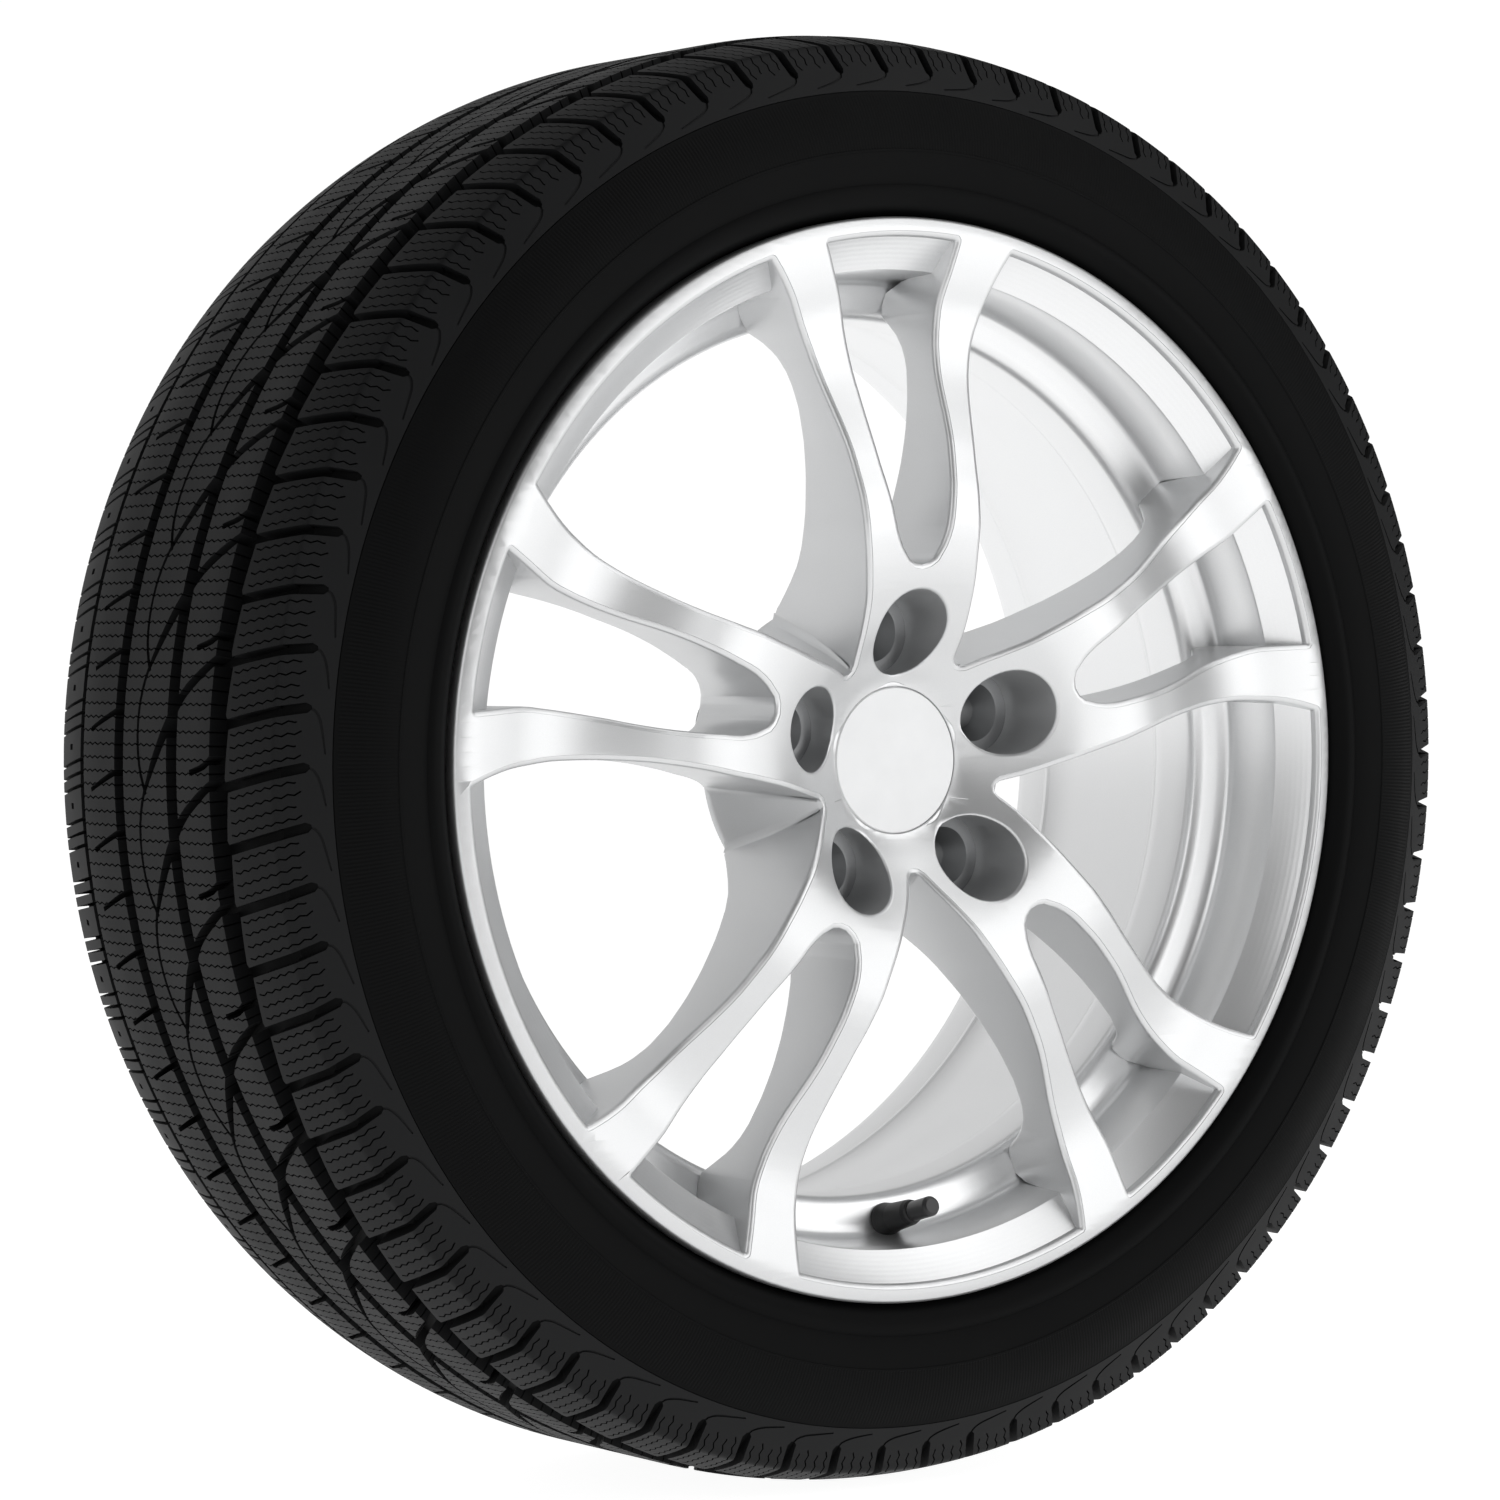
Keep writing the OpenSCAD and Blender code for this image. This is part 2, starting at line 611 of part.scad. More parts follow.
cap_top = cap_inner_top + 1.8;
module dust_cap() {
    bore_r = thread_r + fit;
    outer_r = dust_cap_d / 2;
    color("#151515") on_axle() at_valve() revolve([
        [bore_r, cap_base], [outer_r - 0.2, cap_base], [outer_r, cap_base + 0.4],
        [outer_r, cap_top - 1.4], [outer_r - 0.5, cap_top - 0.4], [outer_r - 1.4, cap_top],
        [0, cap_top], [0, cap_inner_top], [bore_r, cap_inner_top]]);
}
module dust_cap_seal() {
    color("#6b6b6b") on_axle() at_valve() revolve([
        [1.6, stem_l + 0.02], [thread_r - 0.1, stem_l + 0.02],
        [thread_r - 0.1, cap_inner_top - 0.02], [1.6, cap_inner_top - 0.02]]);
}

tyre();
rim_barrel();
rim_hub();
fork(0);  // fork_1
fork(1);  // fork_2
fork(2);  // fork_3
fork(3);  // fork_4
fork(4);  // fork_5
centre_cap();
cap_spring_ring();
valve_body();
valve_stem();
core_housing();
core_gasket();
core_pin();
core_cup_seal();
core_spring();
dust_cap();
dust_cap_seal();
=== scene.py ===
# Winter wheel: a forked alloy rim with a grooved and siped winter tyre, seen from its left front
import math

import bpy
import numpy as np
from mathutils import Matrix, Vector


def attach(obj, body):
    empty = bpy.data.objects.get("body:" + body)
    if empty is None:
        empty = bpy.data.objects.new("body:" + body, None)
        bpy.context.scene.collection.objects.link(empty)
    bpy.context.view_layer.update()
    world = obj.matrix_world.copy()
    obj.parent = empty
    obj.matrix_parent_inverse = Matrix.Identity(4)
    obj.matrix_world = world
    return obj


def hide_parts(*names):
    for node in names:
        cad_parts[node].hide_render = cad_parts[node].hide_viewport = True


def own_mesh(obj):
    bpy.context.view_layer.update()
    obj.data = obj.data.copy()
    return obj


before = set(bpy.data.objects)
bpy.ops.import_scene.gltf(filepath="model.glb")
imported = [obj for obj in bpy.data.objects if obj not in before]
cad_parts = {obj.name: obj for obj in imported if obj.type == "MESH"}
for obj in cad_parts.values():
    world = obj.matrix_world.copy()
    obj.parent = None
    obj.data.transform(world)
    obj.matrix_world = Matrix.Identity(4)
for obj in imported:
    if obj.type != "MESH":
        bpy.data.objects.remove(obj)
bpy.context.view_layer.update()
print("frame loaded:", len(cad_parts), "nodes")

mm = 0.001
flangeDepth = 66.0  # depth is counted inboard from the outboard flange, part y = depth - flangeDepth
forkAngle = 93.6  # angle of the first fork, seen from outboard
forkCount = 5


# small workshop helpers
def pickUp(*pieces):  # makes these the only selected objects, the first one active
    bpy.ops.object.select_all(action="DESELECT")
    for piece in pieces:
        piece.select_set(True)
    bpy.context.view_layer.objects.active = pieces[0]


def editing(piece):  # into edit mode with everything selected
    pickUp(piece)
    bpy.ops.object.mode_set(mode="EDIT")
    bpy.ops.mesh.select_all(action="SELECT")


def doneEditing():
    bpy.ops.object.mode_set(mode="OBJECT")


def readPoints(piece):
    points = np.empty(len(piece.data.vertices) * 3)
    piece.data.vertices.foreach_get("co", points)
    return points.reshape(-1, 3)


def writePoints(piece, points):
    piece.data.vertices.foreach_set("co", np.ascontiguousarray(points, dtype=np.float32).ravel())
    piece.data.update()


def slicePiece(piece, cuts):  # scores the mesh along planes, given as (point, normal) in its own units
    editing(piece)
    for point, normal in cuts:
        bpy.ops.mesh.select_all(action="SELECT")
        bpy.ops.mesh.bisect(plane_co=point, plane_no=normal)
    doneEditing()


def smoothByAngle(piece, degrees):
    pickUp(piece)
    bpy.ops.object.shade_smooth_by_angle(angle=math.radians(degrees))


def tidyMesh(piece, gap=1e-6):
    editing(piece)
    bpy.ops.mesh.remove_doubles(threshold=gap)
    bpy.ops.mesh.normals_make_consistent(inside=False)
    doneEditing()


def joinAll(pieces, name):
    pickUp(*pieces)
    if len(pieces) > 1:
        bpy.ops.object.join()
    piece = bpy.context.object
    piece.name = name
    piece.data.name = name
    return piece


def copyOf(piece):
    twin = piece.copy()
    twin.data = piece.data.copy()
    bpy.context.scene.collection.objects.link(twin)
    return twin


# flat outline with holes, made thick, with its edges worked
def outlineSheet(name, loops, half, bevel=0.0, edge=None):
    curve = bpy.data.curves.new(name, "CURVE")
    curve.dimensions = "2D"
    curve.fill_mode = "BOTH"
    for loop in loops:
        line = curve.splines.new("POLY")
        line.points.add(len(loop) - 1)
        for point, (x, y) in zip(line.points, loop):
            point.co = (x, y, 0, 1)
        line.use_cyclic_u = True
    curve.extrude = half - bevel
    curve.bevel_depth = bevel
    if bevel:
        curve.offset = -bevel
        curve.bevel_mode = "PROFILE"
        for x, y in edge:
            curve.bevel_profile.points.add(x, y)
        for point in curve.bevel_profile.points:
            point.handle_type_1 = point.handle_type_2 = "VECTOR"
        curve.bevel_profile.update()
        curve.bevel_resolution = len(edge)
    piece = bpy.data.objects.new(name, curve)
    bpy.context.scene.collection.objects.link(piece)
    pickUp(piece)
    bpy.ops.object.convert(target="MESH")
    tidyMesh(piece, 1e-5)
    return piece


def spinRing(name, outline, steps):  # closed outline of (radius, depth), spun round the axle
    bpy.ops.object.select_all(action="DESELECT")
    bpy.ops.mesh.primitive_circle_add(vertices=len(outline), radius=0.1)
    piece = bpy.context.object
    piece.name = name
    rd = np.array(outline)
    writePoints(piece, np.c_[rd[:, 0], rd[:, 1] - flangeDepth, np.zeros(len(rd))] * mm)
    editing(piece)
    bpy.ops.mesh.spin(steps=steps, angle=2 * math.pi, center=(0, 0, 0), axis=(0, 1, 0))
    doneEditing()
    tidyMesh(piece)
    return piece


def drillAt(x, z, radius, depths, sides):  # cylinder along the axle, between two depths
    start, end = depths
    bpy.ops.object.select_all(action="DESELECT")
    bpy.ops.mesh.primitive_cylinder_add(
        vertices=sides, radius=radius * mm, depth=(end - start) * mm,
        location=(x * mm, ((start + end) / 2 - flangeDepth) * mm, z * mm), rotation=(math.pi / 2, 0, 0))
    return bpy.context.object


def cutWith(piece, cutters):
    for cutter in cutters:
        pickUp(piece)
        cut = piece.modifiers.new("cut", "BOOLEAN")
        cut.operation = "DIFFERENCE"
        cut.solver = "EXACT"
        cut.object = cutter
        bpy.ops.object.modifier_apply(modifier="cut")
        bpy.data.objects.remove(cutter)


def smoothLine(points, step):  # rounded run through points, sampled about every step
    p = np.array(points, float)
    ends = np.vstack([2 * p[0] - p[1], p, 2 * p[-1] - p[-2]])
    out = []
    for i in range(1, len(ends) - 2):
        a, b, c, d = ends[i - 1:i + 3]
        count = max(1, int(round(np.linalg.norm(c - b) / step)))
        for t in np.arange(count) / count:
            out.append((2 * b + (c - a) * t + (2 * a - 5 * b + 4 * c - d) * t ** 2
                        + (3 * b - a - 3 * c + d) * t ** 3) / 2)
    out.append(p[-1])
    return np.array(out)


def turned(points, degrees):
    a = math.radians(degrees)
    p = np.array(points, float)
    return np.c_[p[:, 0] * math.cos(a) - p[:, 1] * math.sin(a),
                 p[:, 0] * math.sin(a) + p[:, 1] * math.cos(a)]


def ringOf(radius, count, centre=(0, 0)):
    a = np.arange(count) * 2 * math.pi / count
    return np.c_[centre[0] + radius * np.cos(a), centre[1] + radius * np.sin(a)]


# camera, light and floor
view = {
    "place": (-1305.57, -1827.74, 46.0),  # mm
    "azimuth": -34.628,
    "elevation": 1.08,
    "lens": 121.27,  # mm
    "frame": 36,  # width of the frame behind it, mm
    "floor": -319.1,  # mm
    "floorTone": 0.4,
    "floorGlow": 0.95,
    "roomLight": 0.13,  # surroundings in front of the wheel
    "backLight": 0.85,  # surroundings behind it
    "fade": (0.35, 0.9),  # where the one turns into the other
    "paper": 1.05,  # brightness of the backdrop
}
lamps = {  # place in metres, diameter in metres, power in watts; all of them aim at the wheel's middle
    "leftLamp": ((-3.0, -1.9, 1.2), 2.2, 18),
    "faceLamp": ((2.3, -3.6, 1.0), 4.0, 72),
    "topLamp": ((1.5, -1.3, 2.7), 2.6, 22),
}
white = (1, 1, 1, 1)


def setCamera(scene):
    camera = bpy.data.objects.new("viewCamera", bpy.data.cameras.new("viewCamera"))
    scene.collection.objects.link(camera)
    az, el = math.radians(view["azimuth"]), math.radians(view["elevation"])
    back = Vector((math.sin(az) * math.cos(el), -math.cos(az) * math.cos(el), math.sin(el)))
    camera.location = Vector(view["place"]) * mm
    camera.rotation_euler = (-back).to_track_quat("-Z", "Y").to_euler()
    camera.data.lens = view["lens"]
    camera.data.sensor_width = view["frame"]
    camera.data.clip_start = 0.05
    camera.data.clip_end = 60
    scene.camera = camera


def setFloor():
    bpy.ops.object.select_all(action="DESELECT")
    bpy.ops.mesh.primitive_plane_add(size=30, location=(0, 0, view["floor"] * mm - 0.0002))
    floor = bpy.context.object
    floor.name = "floor"
    pickUp(floor)
    bpy.ops.object.transform_apply(location=True, rotation=True, scale=True)
    finish = bpy.data.materials.new("paleFloor")
    finish.use_nodes = True
    shader = finish.node_tree.nodes["Principled BSDF"]
    shader.inputs["Base Color"].default_value = (*[view["floorTone"]] * 3, 1)
    shader.inputs["Roughness"].default_value = 0.9
    shader.inputs["Specular IOR Level"].default_value = 0.1
    shader.inputs["Emission Color"].default_value = white
    shader.inputs["Emission Strength"].default_value = view["floorGlow"]
    floor.data.materials.append(finish)


def setWorld(scene):
    world = bpy.data.worlds.new("studio")
    scene.world = world
    world.use_nodes = True
    tree = world.node_tree
    room = tree.nodes["Background"]  # what lights the wheel and shows in the alloy
    room.inputs["Color"].default_value = white
    toBack = tree.nodes.new("ShaderNodeVectorMath")
    toBack.operation = "DOT_PRODUCT"
    toBack.inputs[1].default_value = (0, 1, 0)
    tree.links.new(tree.nodes.new("ShaderNodeTexCoord").outputs["Generated"], toBack.inputs[0])
    fade = tree.nodes.new("ShaderNodeMapRange")
    fade.interpolation_type = "SMOOTHSTEP"
    limits = (*view["fade"], view["roomLight"], view["backLight"])
    for name, value in zip(("From Min", "From Max", "To Min", "To Max"), limits):
        fade.inputs[name].default_value = value
    tree.links.new(toBack.outputs["Value"], fade.inputs["Value"])
    tree.links.new(fade.outputs["Result"], room.inputs["Strength"])
    paper = tree.nodes.new("ShaderNodeBackground")  # plain white paper, which the camera alone sees
    paper.inputs["Color"].default_value = white
    paper.inputs["Strength"].default_value = view["paper"]
    seen = tree.nodes.new("ShaderNodeLightPath")
    either = tree.nodes.new("ShaderNodeMixShader")
    tree.links.new(seen.outputs["Is Camera Ray"], either.inputs[0])
    tree.links.new(room.outputs[0], either.inputs[1])
    tree.links.new(paper.outputs[0], either.inputs[2])
    tree.links.new(either.outputs[0], tree.nodes["World Output"].inputs["Surface"])
    scene.view_settings.view_transform = "Standard"


def setLamps(scene):
    for name, (spot, size, power) in lamps.items():
        lamp = bpy.data.objects.new(name, bpy.data.lights.new(name, "AREA"))
        scene.collection.objects.link(lamp)
        lamp.location = spot
        lamp.rotation_euler = (-Vector(spot)).to_track_quat("-Z", "Y").to_euler()
        lamp.data.shape = "DISK"
        lamp.data.size = size
        lamp.data.energy = power


setCamera(bpy.context.scene)
setFloor()
setWorld(bpy.context.scene)
setLamps(bpy.context.scene)
print("stage set")


# finishes: noise as (scale, detail), spreads of tone and roughness, bumps as (strength, height in metres)
silverGrain = {
    "metal": 0.9,
    "coatRough": 0.2,
    "flake": (2600.0, 1.0),
    "tone": (0.95, 1.04),
    "cloud": (22.0, 3.0),
    "rough": (0.03, 0.04),
    "grain": (1400.0, 2.0),
    "bump": (0.12, 0.00004),
    "rings": (0.25, 0.00003),
}
rubberGrain = {
    "cloud": (35.0, 4.0),
    "tone": (0.8, 1.25),
    "rough": (0.06, 0.08),
    "grainDetail": 2.0,
    "bump": (0.25, 0.00008),
    "lines": 1080.0,  # radial lines round the sidewall
    "lineBump": (0.35, 0.00015),
    "band": (0.25, 0.3),  # radii between which the stops of the band are given, m
    "bandStops": ((0.27, 0.0), (0.29, 1.0), (0.75, 1.0), (0.77, 0.0)),
}
plainGrain = {
    "cloud": (60.0, 3.0),
    "tone": (0.93, 1.06),
    "rough": (0.04, 0.05),
    "grain": (900.0, 2.0),
    "bump": (0.2, 0.00004),
}


def newFinish(name):
    finish = bpy.data.materials.new(name)
    finish.use_nodes = True
    tree = finish.node_tree
    where = tree.nodes.new("ShaderNodeTexCoord").outputs["Object"]
    return finish, tree, tree.nodes["Principled BSDF"], where


def addNode(tree, kind, **values):
    node = tree.nodes.new(kind)
    for key, value in values.items():
        if key in node.inputs:
            node.inputs[key].default_value = value
        else:
            setattr(node, key, value)
    return node


def mathOf(tree, operation, *values):  # values are sockets or numbers
    node = addNode(tree, "ShaderNodeMath", operation=operation)
    for socket, value in zip(node.inputs, values):
        if isinstance(value, float):
            socket.default_value = value
        else:
            tree.links.new(value, socket)
    return node.outputs[0]


def noiseOf(tree, where, scale, detail):
    noise = addNode(tree, "ShaderNodeTexNoise", Scale=scale, Detail=detail)
    tree.links.new(where, noise.inputs["Vector"])
    return noise.outputs["Fac"]


def spread(tree, value, low, high):  # puts a value of 0 to 1 between two limits
    span = addNode(tree, "ShaderNodeMapRange", **{"To Min": low, "To Max": high})
    tree.links.new(value, span.inputs["Value"])
    return span.outputs["Result"]


def tintBase(tree, shader, base, noise, tone):
    body = addNode(tree, "ShaderNodeMix", data_type="RGBA", blend_type="MULTIPLY")
    body.inputs["Factor"].default_value = 1.0
    body.inputs[6].default_value = (*base, 1)
    tree.links.new(spread(tree, noise, *tone), body.inputs[7])
    tree.links.new(body.outputs[2], shader.inputs["Base Color"])


def varyRough(tree, shader, noise, rough, limits):
    tree.links.new(spread(tree, noise, rough - limits[0], rough + limits[1]), shader.inputs["Roughness"])


def bumpOf(tree, height, strength, distance, under=None):  # one bump may lie on another
    bump = addNode(tree, "ShaderNodeBump", Strength=strength, Distance=distance)
    tree.links.new(height, bump.inputs["Height"])
    if under is not None:
        tree.links.new(under, bump.inputs["Normal"])
    return bump.outputs["Normal"]


def silverFinish(name, base, rough, turning=0.0, coat=0.1):
    finish, tree, shader, where = newFinish(name)
    shader.inputs["Metallic"].default_value = silverGrain["metal"]
    shader.inputs["Coat Weight"].default_value = coat
    shader.inputs["Coat Roughness"].default_value = silverGrain["coatRough"]
    tintBase(tree, shader, base, noiseOf(tree, where, *silverGrain["flake"]), silverGrain["tone"])
    varyRough(tree, shader, noiseOf(tree, where, *silverGrain["cloud"]), rough, silverGrain["rough"])
    bump = bumpOf(tree, noiseOf(tree, where, *silverGrain["grain"]), *silverGrain["bump"])
    if turning:  # fine rings left by the lathe
        split = addNode(tree, "ShaderNodeSeparateXYZ")
        tree.links.new(where, split.inputs[0])
        wave = mathOf(tree, "MULTIPLY", split.outputs["Y"], 2 * math.pi / (turning * mm))
        bump = bumpOf(tree, mathOf(tree, "SINE", wave), *silverGrain["rings"], bump)
    tree.links.new(bump, shader.inputs["Normal"])
    return finish


def rubberFinish(name, base, rough, grainScale=1100.0, ribbed=False, shine=0.3):
    finish, tree, shader, where = newFinish(name)
    shader.inputs["Specular IOR Level"].default_value = shine
    cloud = noiseOf(tree, where, *rubberGrain["cloud"])
    tintBase(tree, shader, base, cloud, rubberGrain["tone"])
    varyRough(tree, shader, cloud, rough, rubberGrain["rough"])
    grain = noiseOf(tree, where, grainScale, rubberGrain["grainDetail"])
    bump = bumpOf(tree, grain, *rubberGrain["bump"])
    if ribbed:  # band of fine radial lines round the sidewall
        split = addNode(tree, "ShaderNodeSeparateXYZ")
        tree.links.new(where, split.inputs[0])
        angle = mathOf(tree, "ARCTAN2", split.outputs["Z"], split.outputs["X"])
        line = mathOf(tree, "SINE", mathOf(tree, "MULTIPLY", angle, rubberGrain["lines"]))
        flat = addNode(tree, "ShaderNodeCombineXYZ")
        tree.links.new(split.outputs["X"], flat.inputs[0])
        tree.links.new(split.outputs["Z"], flat.inputs[1])
        radius = addNode(tree, "ShaderNodeVectorMath", operation="LENGTH")
        tree.links.new(flat.outputs[0], radius.inputs[0])
        near, far = rubberGrain["band"]
        span = addNode(tree, "ShaderNodeMapRange", **{"From Min": near, "From Max": far})
        tree.links.new(radius.outputs["Value"], span.inputs["Value"])
        band = addNode(tree, "ShaderNodeFloatCurve")
        stops = band.mapping.curves[0].points
        stops[0].location = (0.0, 0.0)
        stops[1].location = (1.0, 0.0)
        for x, y in rubberGrain["bandStops"]:
            stops.new(x, y)
        for stop in stops:
            stop.handle_type = "VECTOR"
        band.mapping.update()
        tree.links.new(span.outputs["Result"], band.inputs["Value"])
        shown = mathOf(tree, "MULTIPLY", line, band.outputs["Value"])
        bump = bumpOf(tree, shown, *rubberGrain["lineBump"], bump)
    tree.links.new(bump, shader.inputs["Normal"])
    return finish


def plainFinish(name, base, rough, metallic=0.0, coat=0.0):
    finish, tree, shader, where = newFinish(name)
    shader.inputs["Metallic"].default_value = metallic
    shader.inputs["Coat Weight"].default_value = coat
    cloud = noiseOf(tree, where, *plainGrain["cloud"])
    tintBase(tree, shader, base, cloud, plainGrain["tone"])
    varyRough(tree, shader, cloud, rough, plainGrain["rough"])
    bump = bumpOf(tree, noiseOf(tree, where, *plainGrain["grain"]), *plainGrain["bump"])
    tree.links.new(bump, shader.inputs["Normal"])
    return finish


finishes = {
    "forkSilver": silverFinish("forkSilver", (0.67, 0.675, 0.68), 0.4),
    # barrel: the same alloy with a lighter base than the forks, painted light on the barrel's inside; its
    # lathe rings are bumps
    "barrelSilverPaintedLight": silverFinish("barrelSilverPaintedLight", (0.84, 0.845, 0.85), 0.34, turning=1.4),
    # bolt seats: the same alloy with a much darker base, painted shade deep in the bolt wells
    "seatSilverPaintedShade": silverFinish("seatSilverPaintedShade", (0.3, 0.305, 0.31), 0.4, coat=0.0),
    "capSilver": plainFinish("capSilver", (0.74, 0.745, 0.75), 0.4, metallic=0.25, coat=0.2),
    "treadRubber": rubberFinish("treadRubber", (0.005, 0.0052, 0.0056), 0.6, shine=0.18),
    "sideRubber": rubberFinish("sideRubber", (0.002, 0.0021, 0.0022), 0.6, ribbed=True, shine=0.07),
    "valveRubber": rubberFinish("valveRubber", (0.012, 0.012, 0.0125), 0.42, grainScale=2400.0),
    "valveBrass": plainFinish("valveBrass", (0.66, 0.5, 0.24), 0.3, metallic=1.0),
    "springWire": plainFinish("springWire", (0.5, 0.51, 0.53), 0.33, metallic=1.0),
    "sealRubber": rubberFinish("sealRubber", (0.05, 0.03, 0.028), 0.5, grainScale=2400.0),
    "capPlastic": plainFinish("capPlastic", (0.014, 0.014, 0.015), 0.35),
}
nodeFinish = {
    "centre_cap": "capSilver",
    "cap_spring_ring": "springWire",
    "valve_body": "valveRubber",
    "valve_stem": "valveBrass",
    "core_housing": "valveBrass",
    "core_gasket": "sealRubber",
    "core_pin": "valveBrass",
    "core_cup_seal": "sealRubber",
    "dust_cap": "capPlastic",
    "dust_cap_seal": "sealRubber",
}
for node, finishName in nodeFinish.items():
    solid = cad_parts[node]
    solid.data.materials.clear()
    solid.data.materials.append(finishes[finishName])


def place(piece, finishName, slot, *nodes):
    piece.data.materials.clear()
    piece.data.materials.append(finishes[finishName])
    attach(piece, "wheel")
    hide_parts(*nodes)


print("finishes mixed")


def makeValveSpring():
    piece = bpy.data.objects.new("valveSpring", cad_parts["core_spring"].data.copy())
    bpy.context.scene.collection.objects.link(piece)
    editing(piece)
    bpy.ops.mesh.remove_doubles(threshold=1e-7)
    doneEditing()
    place(piece, "springWire", "spring_steel", "core_spring")
    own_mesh(piece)


makeValveSpring()
print("valve spring seated")

# rim: face with the forks
face = {
    "half": 20.0,  # half the height of the flat sheet that it is bent from, mm
    "edgeWidth": 2.6,  # worked edge along every fork
    "edgeShape": ((0.965, 0.3), (0.86, 0.54), (0.66, 0.72), (0.38, 0.83), (0.13, 0.875), (0.07, 1.0)),
    "edgeBlend": 3.0,  # how far past the edge its new width is faded out
    "wellRadius": 18.45,
    "wellCircle": 56.0,
    "wellRound": 1.3,
    "wellBlend": 4.0,
    "recess": 32.2,
    "recessRound": 0.5,
    "lip": 235.6,
    "lipRound": 1.6,
    "windowArc": 227.0,
    "corner": 2.2,  # round of the openings' corners
    "notchTop": 52.6,  # where the notch beside the hub turns into the leg's edge
    "mesh": 6.0,  # spacing of the mesh lines
    "meshStart": 0.37,
}
faceLine = [(0, 16.9), (32.2, 16.9), (33.6, 16.7), (36, 15.5), (42, 11.3), (49, 7), (62, -1.8), (75, -8),
            (84, -10.5), (95, -12.3), (105, -13.3), (112, -13.2), (120, -12.4), (130, -10.1), (140, -7.7),
            (150, -4.5), (160, -1), (170, 2.1), (180, 3.9), (188, 4.4), (194, 4.1), (200, 3.4), (210, 1.4),
            (220, -0.2), (229.3, -1.3), (231.5, -1.0), (234.2, 0), (236, 0.6)]
backLine = [(0, 65.2), (68.8, 65.2), (70.5, 64.5), (73, 63), (77, 58), (85, 49.5), (92, 43), (100, 38),
            (107, 35), (115, 32.5), (130, 29), (145, 26.5), (160, 25), (172, 26), (178, 28), (183, 31),
            (188, 35.5), (192, 41), (195, 46), (200, 47.2), (207, 45.8), (210, 43), (212.5, 24), (214, 16),
            (217, 14), (222, 11.5), (228, 8.5), (236, 6)]
slotLine = [(0, 85.4), (3.6, 86.2), (6.5, 88), (10.2, 93.5), (13.2, 101), (15, 110), (16.9, 120),
            (18.5, 130), (19.7, 140), (20.5, 150), (21, 160), (21.8, 170), (22.8, 180), (24.1, 190),
            (25.8, 200), (30.5, 214), (35.2, 228)]
legLine = [(28.2, 51.5), (28.5, 60), (28.8, 70), (29.5, 80), (30.2, 90), (31.1, 100), (31.6, 110),
           (32.4, 120), (33.4, 130), (34.8, 140), (36.7, 150), (38.9, 160), (41.5, 170), (44.5, 180),
           (48.5, 190), (52.8, 200), (58.7, 210), (66, 220), (70.5, 225)]
notchLine = [(0, 49.5), (1.7, 49.9), (3.2, 51.1)]  # middle of the notch between two forks


def endOnArc(line, radius):  # cuts a line of points where it leaves a circle round the axle
    r = np.hypot(line[:, 0], line[:, 1])
    last = np.argmax(r > radius)
    t = (radius - r[last - 1]) / (r[last] - r[last - 1])
    return np.vstack([line[:last], line[last - 1] + t * (line[last] - line[last - 1])])


def arcBetween(a, b, radius, step):
    a0, a1 = math.atan2(a[1], a[0]), math.atan2(b[1], b[0])
    count = max(3, int(abs(a1 - a0) * radius / step))
    angles = np.linspace(a0, a1, count + 1)[1:-1]
    return np.c_[radius * np.cos(angles), radius * np.sin(angles)]


def softCorners(points, size):  # breaks each sharp corner of a closed outline with a small round
    out = []
    count = len(points)
    for i in range(count):
        a, b, c = points[i - 1], points[i], points[(i + 1) % count]
        u, w = (a - b) / np.linalg.norm(a - b), (c - b) / np.linalg.norm(c - b)
        if np.dot(u, w) > -0.75:
            cut = min(size, 0.45 * np.linalg.norm(a - b), 0.45 * np.linalg.norm(c - b))
            for t in np.linspace(0, 1, 4):
                out.append((b + u * cut) * (1 - t) ** 2 + 2 * b * t * (1 - t) + (b + w * cut) * t ** 2)
        else:
            out.append(b)
    return np.array(out)


def forkOpenings():
    slot = endOnArc(smoothLine(slotLine, 4.5), face["windowArc"])
    mirror = slot[::-1][:-1] * [-1, 1]
    slotLoop = np.vstack([slot, arcBetween(slot[-1], mirror[0], face["windowArc"], 6), mirror])
    leg = endOnArc(smoothLine(legLine, 4.5), face["windowArc"])  # right side of the fork at the top
    edge = turned(leg, 36) * [-1, 1]  # brought over, so that the window lies on the vertical line
    right = np.vstack([np.array(notchLine), edge[edge[:, 1] > face["notchTop"]]])
    left = right[::-1][:-1] * [-1, 1]
    windowLoop = np.vstack([right, arcBetween(right[-1], left[0], face["windowArc"], 6), left])
    return softCorners(slotLoop, face["corner"]), softCorners(windowLoop, face["corner"])


